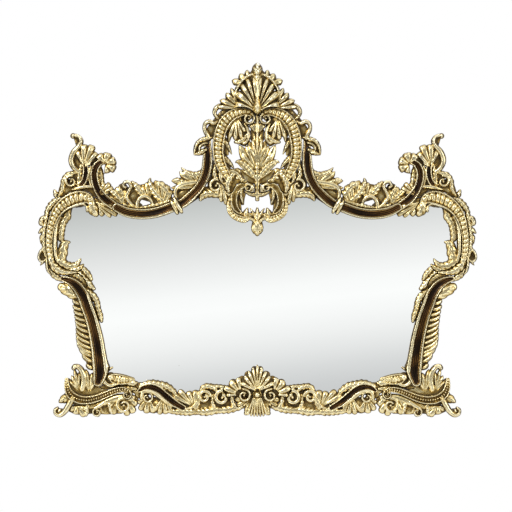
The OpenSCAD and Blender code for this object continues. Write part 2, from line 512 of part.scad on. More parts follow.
// Casting screws: [casting, rank along the outline]
CASTING_SCREWS = [
    ["crest_pendant", 3.3], ["crest_wing", 5.5], ["crest_rail", 9], ["top_rail", 12.5], ["top_rail", 15],
    ["ear_hook", 17.5], ["shoulder_scroll", 21], ["shoulder_scroll", 24], ["shoulder_scroll", 31],
    ["leg_channel", 34.5], ["leg_channel", 38], ["leg_channel", 41], ["foot_curl", 43.2],
    ["base_rail", 46.5], ["base_rail", 47.6], ["base_rail", 49.4], ["base_rail", 50.1], ["base_shell", 53.4],
];
// Ranks of the back board's screws and of the bumpers
BOARD_SCREWS = [1, 4.3, 7.5, 13.8, 16.3, 19.3, 22.5, 32.5, 36.2, 39.5, 45, 48.7, 50.7, 52.6];
BUMPERS = [13, 29.6, 42.4, 49.6];

// The hangers stand on the straight stretch beside the shoulder
hanger_x = on_ring(27)[0] - 2;
hinge_level = board_level - strap_t - fold_gap - wire_d / 2;
bore_d = wire_d + 2 * hinge_gap;
barrel_d = bore_d + 2 * strap_t;
end_gap = 0.5;
bend_r = 0.75 * wire_d;
leg_x = strap_w / 2 + end_gap + bend_r;
STRAP_SCREWS = [14, strap_l - 28, strap_l - 9];

module both_sides() {
    children();
    mirror([1, 0, 0]) children();
}

// Stands a lying piece up against the wall
module stand() translate([0, wall_level, 0]) rotate([90, 0, 0]) children();

module at_hanger(level) translate([hanger_x, hinge_z, level]) children();

// A countersunk screw that points up, its head flush with z = 0
module screw(d, length) {
    cylinder(h = length, d = d, $fn = 32);
    cylinder(h = head_t, d1 = 2 * d, d2 = d, $fn = 32);
}

module drilled(d, depth) translate([0, 0, -1]) cylinder(h = depth + 1, d = d + hole_gap, $fn = 32);

module countersunk(d, depth) {
    drilled(d, depth);
    cylinder(h = head_t, d1 = 2 * d + hole_gap, d2 = d + hole_gap, $fn = 32);
}

module at_ranks(ranks, level)
    for (rank = ranks)
        both_sides()
            translate([on_ring(rank)[0], on_ring(rank)[1], level])
                children();

module at_strap_screws(level)
    for (below = STRAP_SCREWS)
        both_sides()
            at_hanger(level)
                translate([0, -below, 0])
                    children();

function ranks_of(name) = [for (s = CASTING_SCREWS) if (s[0] == name) s[1]];

ALL_CASTING_RANKS = [for (s = CASTING_SCREWS) s[1]];
tip_gap = 0.5;

// One casting, cut back along its seams with the castings that it gives way to
module casting(name, relief, gives_way_to)
    color(BRASS)
        stand()
            difference() {
                resize([0, 0, relief])
                    difference() {
                        form(name);
                        for (other = gives_way_to)
                            translate([0, 0, -1])
                                linear_extrude(3)
                                    offset(delta = seam)
                                        projection()
                                            both_sides() form(other);
                    }
                at_ranks(ranks_of(name), 0) drilled(casting_screw_d, casting_bite + tip_gap);
            }

// Backing

module mirror_plate()
    color("#cfd2d4")
        stand()
            translate([0, 0, -glass_t])
                linear_extrude(glass_t)
                    glass_outline();

module packing_sheet()
    color("#e6e4dc")
        stand()
            translate([0, 0, -ring_t])
                linear_extrude(packing_t)
                    glass_outline();

module ply_ring()
    color("#b98f5e")
        stand()
            difference() {
                translate([0, 0, -ring_t])
                    linear_extrude(ring_t)
                        difference() {
                            offset(delta = glass_gap + ring_w) glass_outline();
                            offset(delta = glass_gap) glass_outline();
                        }
                at_ranks(ALL_CASTING_RANKS, -ring_t) countersunk(casting_screw_d, ring_t + 1);
                at_ranks(BOARD_SCREWS, -ring_t) drilled(board_screw_d, board_bite + tip_gap);
                at_strap_screws(-ring_t) drilled(board_screw_d, board_bite + tip_gap);
            }

module back_board()
    color("#a07b52")
        stand()
            difference() {
                translate([0, 0, board_level])
                    linear_extrude(board_t)
                        offset(delta = glass_gap + ring_w - board_inset) glass_outline();
                at_ranks(BOARD_SCREWS, board_level) countersunk(board_screw_d, board_t + 1);
                at_strap_screws(board_level - strap_t) countersunk(board_screw_d, strap_t + board_t + 1);
            }

module bumpers()
    color("#2c2a28")
        stand()
            at_ranks(BUMPERS, wall_level)
                cylinder(h = bumper_h, d = bumper_d, $fn = 40);

module casting_screws()
    color(STEEL)
        stand()
            at_ranks(ALL_CASTING_RANKS, -ring_t) screw(casting_screw_d, ring_t + casting_bite);

module board_screws()
    color(STEEL)
        stand()
            at_ranks(BOARD_SCREWS, board_level) screw(board_screw_d, board_t + board_bite);

module strap_screws()
    color(STEEL)
        stand()
            at_strap_screws(board_level - strap_t) screw(board_screw_d, strap_t + board_t + board_bite);

// Hangers

module hanger_strap_right()
    color(STEEL)
        stand()
            difference() {
                union() {
                    at_hanger(hinge_level)
                        rotate([0, 90, 0])
                            cylinder(h = strap_w, d = barrel_d, center = true, $fn = 40);
                    at_hanger(board_level - strap_t)
                        translate([-strap_w / 2, -strap_l, 0])
                            cube([strap_w, strap_l, strap_t]);
                }
                at_hanger(hinge_level)
                    rotate([0, 90, 0])
                        cylinder(h = strap_w + 2, d = bore_d, center = true, $fn = 40);
                at_strap_screws(board_level - strap_t) countersunk(board_screw_d, strap_t + 1);
            }

module hanger_ring_right()
    color(STEEL)
        stand()
            at_hanger(hinge_level) {
                rotate([0, 90, 0]) cylinder(h = 2 * (leg_x - bend_r), d = wire_d, center = true, $fn = 32);
                both_sides() {
                    translate([leg_x - bend_r, -bend_r, 0])
                        rotate_extrude(angle = 90, $fn = 48)
                            translate([bend_r, 0])
                                circle(d = wire_d, $fn = 32);
                    translate([leg_x, -bend_r, 0])
                        rotate([90, 0, 0])
                            cylinder(h = ring_l - leg_x - bend_r, d = wire_d, $fn = 32);
                }
                translate([0, leg_x - ring_l, 0])
                    rotate([0, 0, 180])
                        rotate_extrude(angle = 180, $fn = 48)
                            translate([leg_x, 0])
                                circle(d = wire_d, $fn = 32);
            }

module hanger_strap_left() mirror([1, 0, 0]) hanger_strap_right();

module hanger_ring_left() mirror([1, 0, 0]) hanger_ring_right();

// Castings

module crest_shell() casting("crest_shell", shell_h, ["crest_scroll"]);

module crest_palmette() casting("crest_palmette", leaf_h, ["crest_scroll", "crest_shell"]);

module crest_pendant() casting("crest_pendant", scroll_h, ["crest_scroll", "crest_palmette"]);

module base_shell() casting("base_shell", scroll_h, []);

module crest_scroll_right()
    casting("crest_scroll", scroll_h, []);

module crest_scroll_left() mirror([1, 0, 0]) crest_scroll_right();

module crest_frill_right()
    casting("crest_frill", leaf_h, ["crest_scroll", "crest_shell"]);

module crest_frill_left() mirror([1, 0, 0]) crest_frill_right();

module crest_rail_right()
    casting("crest_rail", moulding_h, ["crest_scroll", "crest_frill", "rail_collar"]);

module crest_rail_left() mirror([1, 0, 0]) crest_rail_right();

module crest_spray_right()
    casting("crest_spray", leaf_h, ["crest_rail", "rail_collar"]);

module crest_spray_left() mirror([1, 0, 0]) crest_spray_right();

module crest_wing_right()
    casting("crest_wing", leaf_h, ["crest_rail", "crest_scroll", "crest_pendant"]);

module crest_wing_left() mirror([1, 0, 0]) crest_wing_right();

module rail_collar_right()
    casting("rail_collar", scroll_h, []);

module rail_collar_left() mirror([1, 0, 0]) rail_collar_right();

module top_rail_right()
    casting("top_rail", moulding_h, ["rail_collar"]);

module top_rail_left() mirror([1, 0, 0]) top_rail_right();

module rail_leaves_right()
    casting("rail_leaves", leaf_h, ["top_rail", "rail_collar", "ear_hook", "crest_spray"]);

module rail_leaves_left() mirror([1, 0, 0]) rail_leaves_right();

module ear_hook_right()
    casting("ear_hook", moulding_h, ["top_rail", "shoulder_scroll"]);

module ear_hook_left() mirror([1, 0, 0]) ear_hook_right();

module ear_flame_right()
    casting("ear_flame", leaf_h, ["ear_hook", "shoulder_scroll"]);

module ear_flame_left() mirror([1, 0, 0]) ear_flame_right();

module shoulder_scroll_right()
    casting("shoulder_scroll", scroll_h, []);

module shoulder_scroll_left() mirror([1, 0, 0]) shoulder_scroll_right();

module shoulder_leaves_right()
    casting("shoulder_leaves", leaf_h, ["shoulder_scroll"]);

module shoulder_leaves_left() mirror([1, 0, 0]) shoulder_leaves_right();

module shoulder_frill_right()
    casting("shoulder_frill", leaf_h, ["shoulder_scroll", "ear_flame"]);

module shoulder_frill_left() mirror([1, 0, 0]) shoulder_frill_right();

module leg_channel_right()
    casting("leg_channel", moulding_h, ["shoulder_scroll", "shoulder_leaves", "shoulder_frill"]);

module leg_channel_left() mirror([1, 0, 0]) leg_channel_right();

module leg_wave_right()
    casting("leg_wave", leaf_h, ["leg_channel", "shoulder_leaves", "shoulder_scroll"]);

module leg_wave_left() mirror([1, 0, 0]) leg_wave_right();

module leg_feather_right()
    casting("leg_feather", leaf_h, ["leg_channel"]);

module leg_feather_left() mirror([1, 0, 0]) leg_feather_right();

module foot_scroll_right()
    casting("foot_scroll", scroll_h, []);

module foot_scroll_left() mirror([1, 0, 0]) foot_scroll_right();

module foot_flame_right()
    casting("foot_flame", leaf_h, ["foot_scroll", "foot_curl", "leg_channel", "leg_feather"]);

module foot_flame_left() mirror([1, 0, 0]) foot_flame_right();

module foot_curl_right()
    casting("foot_curl", leaf_h, ["foot_scroll", "leg_channel"]);

module foot_curl_left() mirror([1, 0, 0]) foot_curl_right();

module foot_lobes_right()
    casting("foot_lobes", leaf_h, ["foot_scroll"]);

module foot_lobes_left() mirror([1, 0, 0]) foot_lobes_right();

module base_rail_right()
    casting("base_rail", moulding_h, ["base_shell", "foot_scroll", "foot_curl"]);

module base_rail_left() mirror([1, 0, 0]) base_rail_right();

mirror_plate();
packing_sheet();
ply_ring();
back_board();
bumpers();
casting_screws();
board_screws();
strap_screws();
hanger_strap_left();
hanger_strap_right();
hanger_ring_left();
hanger_ring_right();
crest_shell();
crest_palmette();
crest_pendant();
base_shell();
crest_scroll_left();
crest_scroll_right();
crest_frill_left();
crest_frill_right();
crest_rail_left();
crest_rail_right();
crest_spray_left();
crest_spray_right();
crest_wing_left();
crest_wing_right();
rail_collar_left();
rail_collar_right();
top_rail_left();
top_rail_right();
rail_leaves_left();
rail_leaves_right();
ear_hook_left();
ear_hook_right();
ear_flame_left();
ear_flame_right();
shoulder_scroll_left();
shoulder_scroll_right();
shoulder_leaves_left();
shoulder_leaves_right();
shoulder_frill_left();
shoulder_frill_right();
leg_channel_left();
leg_channel_right();
leg_wave_left();
leg_wave_right();
leg_feather_left();
leg_feather_right();
foot_scroll_left();
foot_scroll_right();
foot_flame_left();
foot_flame_right();
foot_curl_left();
foot_curl_right();
foot_lobes_left();
foot_lobes_right();
base_rail_left();
base_rail_right();
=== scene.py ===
"""Looks of the rococo overmantel mirror: the relief of its brass castings, and the material of each part."""
import math
from collections import namedtuple

import bpy
import numpy as np
from mathutils import Matrix, Vector


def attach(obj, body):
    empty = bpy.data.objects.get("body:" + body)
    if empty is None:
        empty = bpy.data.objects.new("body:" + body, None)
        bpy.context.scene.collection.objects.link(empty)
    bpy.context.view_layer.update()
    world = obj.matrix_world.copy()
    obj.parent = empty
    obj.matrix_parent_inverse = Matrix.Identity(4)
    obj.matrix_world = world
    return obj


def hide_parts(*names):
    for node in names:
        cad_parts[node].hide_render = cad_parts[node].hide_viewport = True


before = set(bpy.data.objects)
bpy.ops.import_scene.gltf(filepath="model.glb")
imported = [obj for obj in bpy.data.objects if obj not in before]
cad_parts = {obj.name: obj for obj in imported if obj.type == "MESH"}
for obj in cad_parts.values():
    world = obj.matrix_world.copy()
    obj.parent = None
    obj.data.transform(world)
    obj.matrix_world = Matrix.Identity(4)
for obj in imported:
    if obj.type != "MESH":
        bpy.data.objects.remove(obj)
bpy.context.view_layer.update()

MM = 0.001

# How finely the relief is carved, in millimetres
GRAIN = 1.05

# Heights in millimetres: the plane that the castings lie on, the relief of each kind, and the depth of a cove
CASTING_BACK = 25.0
LEAF_RELIEF = 20.0
MOULDING_RELIEF = 20.0
SCROLL_RELIEF = 24.0
SHELL_RELIEF = 40.0
COVE_DEPTH = 10.0

# The gap at a seam between two castings, and how far in from its edge a casting has rounded over
SEAM = 0.2
EDGE_ROUND = 3.6

# Spacing of punched pits, of pearls, of the lobes of a narrow leaf, and of the scraper's ridges in a cove
PIT_PITCH = 4.0
PEARL_PITCH = 7.0
LOBE_PITCH = 11.5
RIDGE_PITCH = 4.2

# The share of its height at which a rounded stroke meets its edge, and the share of the ground under barbs
SHOULDER = 0.34
LOW = 0.35

# Past the end of a stroke distance counts this many times over, which makes its end blunt
END_BLUNTNESS = 1.7

# No stroke is thinner than this half width in millimetres
THINNEST = 0.4

# How many points a smooth curve gets between two rows, under a stroke and under the stem of a feather
STROKE_POINTS = 7
STEM_POINTS = 12

# A barb of the feather from inside the stem to its tip: share of its reach, turn in degrees, and fullness
BARB = ((-0.3, 24, 0.7), (0.15, 24, 1.0), (0.6, 28, 1.1), (0.95, 35, 0.9), (1.22, 42, 0.3))
BARB_FULLNESS = 0.47


# The strokes that the carver lays down, as rows of [x, z, half width, share of the relief]

def stroke_of(kind, rows, **more):
    return dict(kind=kind, rows=rows, **more)


def bead(rows):
    return stroke_of("bead", rows)


def leaf(rows, ruffle=0.17):
    """A leaf whose lobes cut into its edge by that part of its half width."""
    return stroke_of("leaf", rows, ruffle=ruffle)


def ground(rows):
    return stroke_of("ground", rows)


def cove(rows, lacquer=1.0):
    return stroke_of("cove", rows, lacquer=lacquer)


def pearled(rows):
    return stroke_of("pearled", rows)


def gadroon(rows, ribs):
    return stroke_of("gadroon", rows, ribs=ribs)


def dome(x, z, radius, share):
    return stroke_of("dome", [[x, z, radius, share]])


def fan(root, tips, share=1.0, heel=0.12, point=0.0):
    """Lobes from a root to their tips, listed clockwise: pointed where point is 1, blunt where it is below 0.
    Heel is the part of a lobe, next to the root, that is left out."""
    return stroke_of("fan", [[x, z, 0, share] for x, z in tips], root=root, heel=heel, point=point)


def curl(x, z, radius, start, sweep, share=1.0, thick=0.27):
    """A scroll end: a round stem that winds in from its start angle to an eye. Thick is the stem's half width
    at the start, as a part of the radius."""
    turns = np.linspace(0, 1, 9)
    angles = np.radians(start + sweep * turns)
    reach = radius * (1 - 0.6 * turns)
    rows = [[x + out * math.cos(angle), z + out * math.sin(angle),
             radius * (thick - 0.08 * turn), share * (0.85 + 0.15 * turn)]
            for out, angle, turn in zip(reach, angles, turns)]
    return [bead(rows), dome(x, z, 0.32 * radius, share)]


def feather(rows, barbs):
    """Curved barbs that rise to the left of a stem, each a leaf of its own, with low ground under their
    roots."""
    stem = np.array(laid_out(rows, STEM_POINTS))
    thick = BARB_FULLNESS * arc_length(stem) / barbs
    laid = []
    for k in range(barbs):
        at = (k + 0.5) / barbs * (len(stem) - 1)
        i = min(int(at), len(stem) - 2)
        x, z, reach, share = stem[i] + (stem[i + 1] - stem[i]) * (at - i)
        dx, dz = stem[i + 1][:2] - stem[i][:2]
        lean = math.atan2(dz, dx) + math.radians(90)
        barb = []
        for part, turn, fullness in BARB:
            angle = lean + math.radians(turn)
            barb.append([x + reach * part * math.cos(angle), z + reach * part * math.sin(angle),
                         thick * fullness, share * (0.75 + 0.25 * part)])
        laid.append(leaf(barb, 0))
    return laid + [ground([[x, z, 0.6 * reach, LOW] for x, z, reach, _ in stem[4:-8:6]])]


def mirrored(stroke):
    """The same stroke on the other side of the centre line, its left edge still its left edge."""
    twin = dict(stroke, rows=[[-x, z, w, share] for x, z, w, share in reversed(stroke["rows"])])
    if "root" in stroke:
        twin["root"] = [-stroke["root"][0], stroke["root"][1]]
    return twin


def pair(*strokes):
    """The strokes, and their twins across the centre line."""
    return list(strokes) + [mirrored(stroke) for stroke in strokes]


def both_ways(tips):
    """Tips to the right of the centre line, with their twins to the left of it first."""
    return [[-x, z] for x, z in reversed(tips)] + tips


def laid_out(rows, count):
    """Rows along a smooth curve through the given rows."""
    out = []
    last = len(rows) - 1
    for i in range(last):
        a, b, c, d = (np.array(rows[k], float) for k in (max(i - 1, 0), i, i + 1, min(i + 2, last)))
        for k in range(count):
            t = k / count
            out.append(0.5 * (2 * b + (c - a) * t + (2 * a - 5 * b + 4 * c - d) * t ** 2
                              + (3 * b - a - 3 * c + d) * t ** 3))
    out.append(np.array(rows[-1], float))
    return out


def arc_length(points):
    return float(np.sum(np.hypot(*np.diff(np.array(points)[:, :2], axis=0).T)))


# The ornament of the right half, in millimetres from the centre line and from the shelf under the feet

CREST_SHELL = [
    fan([0, 861], both_ways([[9, 957], [28, 951], [44, 936], [57, 914], [62, 880]]), 1, 0.18),
    leaf([[0, 858, 10, 0.5], [0, 868, 20, 0.6], [0, 884, 18, 0.6], [0, 900, 6, 0.6]]),
    leaf([[0, 938, 9, 0.8], [0, 952, 14, 0.95], [0, 968, 17, 1], [0, 982, 14, 0.95], [0, 990, 7, 0.7]], 0.08),
    leaf([[0, 862, 12, 0.85], [0, 872, 17, 1], [0, 886, 13, 1], [0, 906, 11, 1], [0, 928, 12, 1],
          [0, 950, 12, 0.9]], 0),
    *pair(leaf([[4, 966, 5, 0.6], [28, 957, 7, 0.7], [47, 940, 7, 0.7], [60, 914, 7, 0.7],
                [64, 884, 7, 0.6]], 0.4)),
    *pair(fan([20, 928], [[12, 978], [29, 978], [49, 967], [72, 948]], 0.5, point=0.7)),
    *pair(fan([46, 867], [[74, 927], [88, 913], [106, 892], [113, 874]], 0.6, point=0.7)),
    *pair(ground([[12, 870, 6, 0.3], [46, 876, 9, 0.3], [76, 868, 9, 0.3], [96, 856, 8, 0.3]])),
]

CREST_PALMETTE = [
    leaf([[0, 612, 6, 0.6], [0, 650, 9, 0.7], [0, 690, 9, 0.9], [0, 740, 6, 0.9]]),
    fan([0, 664], both_ways([[9, 798], [23, 783], [52, 768], [61, 722], [43, 697]]), 0.7, 0.1, 1),
    fan([0, 690], both_ways([[14, 776], [34, 766], [46, 748]]), 0.88, 0.1, 1),
    fan([0, 716], [[-26, 768], [-14, 784], [0, 792], [14, 784], [26, 768]], 1, 0.1, 0.8),
    *pair(leaf([[3, 668, 6, 0.7], [16, 694, 11, 0.95], [34, 712, 11, 0.9], [50, 720, 7, 0.8],
                [61, 718, 2, 0.6]])),
    bead([[0, 780, 5, 0.7], [0, 830, 6, 0.8], [0, 862, 6, 0.7]]),
    fan([0, 796], [[-16, 828], [16, 828]], 0.7),
    fan([0, 826], [[-15, 855], [15, 855]], 0.7),
    *pair(leaf([[0, 628, 8, 0.6], [16, 628, 7, 0.6], [34, 636, 4, 0.6]])),
    *pair(ground([[4, 664, 9, 0.35], [24, 676, 13, 0.35], [50, 698, 3, 0.3]])),
    *pair(ground([[8, 822, 5, 0.35], [12, 804, 8, 0.35], [14, 782, 6, 0.35]])),
]

CREST_PENDANT = [
    leaf([[0, 560, 9, 0.8], [0, 574, 8, 0.8], [0, 590, 3, 0.6]]),
    leaf([[0, 556, 8, 0.8], [0, 536, 19, 1], [0, 511, 1.5, 0.5]]),
    *pair(bead([[30, 657, 5, 0.6], [14, 651, 5.5, 0.7], [13, 637, 5, 0.6], [24, 634, 3, 0.5]])),
    *pair(cove([[28, 658, 6, 0.7], [44, 652, 9, 0.85], [58, 640, 10, 0.9], [65, 622, 10, 0.9],
                [65, 603, 9, 0.9], [59, 587, 8, 0.85], [48, 577, 5, 0.7]], 0)),
    *pair(*curl(27, 646, 13, 60, 330, 0.9)),
    *pair(leaf([[42, 650, 6, 0.6], [46, 624, 7, 0.7], [40, 602, 1.5, 0.5]])),
    *pair(gadroon([[76, 622, 4, 0.6], [80, 600, 6.5, 0.75], [76, 580, 8, 0.85], [65, 567, 8.5, 0.9],
                   [48, 559, 9, 0.9], [34, 557, 8.5, 0.85], [22, 563, 5, 0.6]], 11)),
    *pair(leaf([[34, 564, 7, 0.6], [32, 576, 9, 0.7], [27, 590, 2, 0.5]])),
    *pair(leaf([[14, 570, 8, 0.45], [40, 570, 10, 0.5], [62, 580, 10, 0.5], [72, 604, 7, 0.4]])),
    *pair(leaf([[0, 558, 10, 0.7], [20, 589, 1.5, 0.5]])),
    *pair(leaf([[27, 561, 5, 0.6], [13, 558, 6, 0.7], [4, 544, 6, 0.65]])),
    *pair(ground([[18, 645, 7, 0.35], [34, 643, 9, 0.35], [40, 622, 6, 0.35], [41, 600, 4, 0.3]])),
    *pair(ground([[54, 640, 5, 0.35], [54, 608, 8, 0.35], [50, 580, 7, 0.35]])),
]

CREST_SCROLL = [
    gadroon([[15, 852, 8, 0.7], [28, 860, 10, 0.8], [50, 858, 14, 0.9], [72, 849, 16, 0.95],
             [90, 831, 17, 1], [102, 806, 17, 1], [108, 780, 17, 1], [110, 755, 16, 1],
             [108, 730, 16, 0.95], [101, 708, 15, 0.9], [90, 688, 13, 0.85], [80, 670, 9, 0.8]],
             22),
    *curl(24, 840, 17, 120, 400, 0.95),
    fan([58, 846], [[90, 806], [78, 788], [62, 780], [44, 786], [34, 802]], 0.85, 0.1, 0.2),
    leaf([[48, 848, 7, 0.5], [52, 820, 9, 0.6], [55, 800, 6, 0.55], [57, 785, 1.5, 0.4]]),
    leaf([[68, 842, 8, 0.5], [75, 815, 11, 0.6], [79, 792, 8, 0.6], [79, 775, 1.5, 0.4]]),
    leaf([[98, 792, 8, 0.5], [89, 774, 9, 0.6], [80, 758, 6, 0.5], [72, 741, 1.5, 0.4]]),
    leaf([[98, 738, 8, 0.5], [86, 724, 9, 0.6], [74, 712, 6, 0.5], [66, 701, 1.5, 0.4]]),
    bead([[36, 826, 4, 0.5], [28, 812, 5, 0.65], [24, 796, 5.5, 0.7], [27, 780, 5, 0.7],
          [37, 771, 4.5, 0.6], [45, 777, 2.5, 0.5]]),
    leaf([[90, 692, 8, 0.7], [70, 692, 9, 0.65], [54, 684, 8, 0.6], [45, 670, 6, 0.5], [44, 660, 2, 0.4]]),
    dome(56, 674, 9, 0.7),
    leaf([[27, 800, 5, 0.6], [35, 786, 9, 0.75], [49, 777, 9, 0.75], [63, 775, 4, 0.6]], 0.3),
    ground([[33, 850, 8, 0.35], [45, 824, 21, 0.35], [47, 798, 23, 0.35], [36, 770, 8, 0.35]]),
    ground([[54, 694, 9, 0.35], [68, 680, 17, 0.35], [76, 660, 18, 0.35], [76, 640, 10, 0.35]]),
    ground([[34, 664, 7, 0.35], [46, 668, 8, 0.35], [60, 664, 8, 0.35]]),
    ground([[92, 700, 8, 0.35], [100, 684, 12, 0.35], [92, 664, 12, 0.35]]),
    leaf([[62, 690, 6, 0.6], [76, 674, 12, 0.85], [84, 654, 12, 0.9], [80, 634, 6, 0.7]], 0.25),
    leaf([[92, 704, 4, 0.6], [103, 688, 9, 0.8], [102, 670, 8, 0.8], [94, 656, 4, 0.6]], 0.25),
    ground([[99, 766, 6, 0.35], [90, 752, 9, 0.35], [84, 740, 4, 0.3]]),
    ground([[98, 722, 7, 0.35], [86, 708, 7, 0.35], [77, 703, 3, 0.3]]),
]

CREST_FRILL = [
    bead([[84, 868, 5, 0.6], [100, 877, 7, 0.8], [115, 870, 7, 0.8], [120, 857, 6, 0.7],
          [114, 845, 5, 0.6], [105, 838, 3.5, 0.5]]),
    bead([[108, 834, 4, 0.6], [121, 827, 6, 0.8], [135, 832, 7, 1], [146, 826, 6, 0.9], [148, 812, 6, 0.8],
          [142, 798, 7, 0.8], [135, 786, 6, 0.7]]),
    leaf([[126, 788, 4, 0.6], [142, 784, 8, 0.8], [158, 780, 7, 0.9], [170, 769, 6, 0.9],
          [175, 754, 5, 0.8], [177, 741, 2, 0.6]]),
    leaf([[140, 772, 5, 0.6], [152, 770, 5, 0.7], [162, 760, 5, 0.8], [160, 747, 4, 0.7],
          [151, 744, 3, 0.6]]),
    leaf([[143, 754, 7, 0.5], [158, 746, 9, 0.6], [177, 740, 2.5, 0.5]]),
    ground([[94, 864, 6, 0.35], [112, 838, 9, 0.35], [129, 808, 14, 0.35], [138, 784, 9, 0.35]]),
    ground([[148, 774, 9, 0.35], [166, 764, 8, 0.35], [172, 750, 6, 0.35]]),
]

CREST_RAIL = [
    cove([[134, 788, 5, 0.7], [139, 766, 10, 0.85], [139, 742, 13, 0.95], [140, 718, 14.5, 1],
          [143, 695, 14.5, 1], [150, 672, 14, 1], [163, 648, 13.5, 1], [182, 627, 14, 1],
          [206, 606, 14, 1], [226, 596, 13, 1]]),
]

CREST_SPRAY = [
    fan([152, 648], [[163, 694], [192, 695], [219, 693], [242, 666], [243, 646]], 0.8, 0.15, 0.9),
    leaf([[146, 706, 4, 0.6], [160, 688, 9, 0.8], [180, 682, 11, 0.9], [200, 690, 8, 0.9],
          [213, 703, 1.5, 0.6]], 0.3),
    leaf([[158, 672, 5, 0.6], [180, 662, 9, 0.85], [202, 661, 10, 0.9], [224, 668, 8, 0.9],
          [238, 668, 1.5, 0.6]], 0.3),
    bead([[166, 663, 8, 0.8], [196, 659, 8, 0.9], [219, 652, 7.5, 1], [230, 636, 6.5, 1],
          [227, 614, 5, 0.7]]),
    leaf([[180, 646, 14, 0.4], [204, 634, 19, 0.45], [222, 620, 9, 0.4]]),
]

CREST_WING = [
    fan([104, 674], [[112, 622], [101, 606], [87, 598], [74, 620]], 0.8),
    *curl(116, 652, 20, 130, -380, 0.95),
    leaf([[118, 718, 3, 0.6], [119, 702, 8, 0.8], [120, 686, 10, 0.9], [116, 672, 8, 0.8]], 0.25),
    ground([[126, 722, 4, 0.4], [121, 700, 10, 0.4], [116, 678, 17, 0.4], [124, 654, 16, 0.4],
            [114, 634, 9, 0.4]]),
    leaf([[104, 626, 10, 0.7], [134, 631, 13, 0.8], [152, 626, 12, 0.8], [160, 613, 5, 0.7]]),
    leaf([[126, 640, 6, 0.4], [148, 642, 10, 0.4], [172, 634, 8, 0.4]]),
]

RAIL_COLLAR = [
    bead([[212, 577, 4, 0.7], [219, 590, 8, 0.9], [227, 604, 8, 1], [234, 619, 4, 0.8]]),
    bead([[224, 575, 5, 0.6], [230, 587, 7, 0.8], [237, 601, 7, 0.9], [242, 610, 4, 0.7]]),
]

TOP_RAIL = [
    cove([[228, 596, 14, 0.9], [244, 591, 15, 1], [265, 583, 15, 1], [290, 576, 15, 1], [320, 573, 15, 1],
          [350, 575, 15, 1], [374, 581, 14, 1], [396, 592, 13, 1]]),
]

RAIL_LEAVES = [
    leaf([[238, 613, 5, 0.7], [262, 604, 7, 0.8], [290, 597, 8, 0.8], [320, 591, 6, 0.7],
          [348, 592, 6, 0.7], [374, 600, 7, 0.8]]),
    fan([268, 588], [[236, 640], [247, 653], [266, 662], [286, 668], [304, 665]], 0.7, 0.2, 0.3),
    fan([302, 604], [[296, 664], [312, 662], [325, 650]], 0.7, 0.1, 0.3),
    leaf([[244, 618, 6, 0.6], [252, 636, 12, 0.85], [268, 652, 13, 0.9], [284, 658, 9, 0.8]], 0.3),
    leaf([[258, 606, 6, 0.6], [276, 620, 12, 0.95], [292, 640, 13, 1], [302, 660, 8, 0.9],
          [300, 674, 1.5, 0.6]], 0.3),
    leaf([[320, 622, 6, 0.6], [329, 636, 12, 0.85], [340, 650, 11, 0.9], [352, 664, 3, 0.7]], 0.3),
    ground([[246, 616, 8, 0.4], [268, 624, 22, 0.45], [296, 632, 26, 0.45], [330, 634, 20, 0.4],
            [356, 622, 12, 0.4]]),
    bead([[294, 602, 5, 0.7], [304, 619, 6, 0.8], [320, 623, 6, 0.9], [334, 611, 6.5, 1],
          [338, 588, 6, 0.8]]),
    leaf([[384, 600, 5, 0.6], [376, 616, 9, 0.8], [380, 634, 9, 0.8], [388, 650, 4, 0.7]], 0.3),
    ground([[326, 596, 5, 0.35], [342, 604, 8, 0.35], [356, 612, 6, 0.35]]),
    bead([[342, 592, 5, 0.7], [356, 604, 6, 0.85], [367, 620, 6.5, 0.95], [361, 636, 6, 0.95],
          [354, 650, 6, 0.95], [360, 661, 5.5, 0.95], [371, 662, 5, 0.95], [376, 652, 4.5, 0.9],
          [369, 646, 3.5, 0.8]]),
    fan([366, 596], [[372, 642], [396, 649], [418, 644], [423, 622]], 0.7, 0.12, 0.3),
    leaf([[374, 606, 6, 0.6], [388, 618, 11, 0.9], [402, 632, 11, 0.95], [420, 642, 5, 0.8]], 0.3),
    ground([[360, 630, 6, 0.4], [376, 624, 20, 0.45], [400, 620, 20, 0.45], [418, 618, 10, 0.4]]),
    ground([[356, 596, 6, 0.35], [359, 620, 8, 0.35], [358, 646, 6, 0.35]]),
    ground([[366, 640, 6, 0.35], [375, 650, 9, 0.35], [384, 652, 5, 0.35]]),
]

EAR_HOOK = [
    cove([[392, 590, 12, 0.9], [410, 602, 13, 1], [430, 618, 13.5, 1], [446, 640, 12, 1],
          [455, 664, 11.5, 1], [457, 688, 11.5, 1], [450, 708, 10.5, 1], [437, 718, 8, 0.9],
          [425, 716, 5, 0.8]]),
    fan([427, 713], [[421, 687], [399, 696], [397, 724], [419, 745], [447, 740]], 1, 0.1, -0.8),
    ground([[438, 728, 8, 0.35], [452, 722, 9, 0.35], [463, 711, 6, 0.35]]),
    fan([444, 626], [[414, 632], [404, 646], [414, 660], [430, 661]], 0.8, 0.12, -0.5),
    leaf([[432, 648, 6, 0.5], [438, 668, 9, 0.6], [440, 690, 9, 0.6], [442, 708, 4, 0.5]]),
    fan([462, 608], [[453, 571], [431, 569], [411, 565], [394, 569], [402, 592]], 0.8, 0.05, -0.5),
    leaf([[418, 596, 10, 0.4], [440, 606, 13, 0.45], [464, 612, 9, 0.4]]),
]

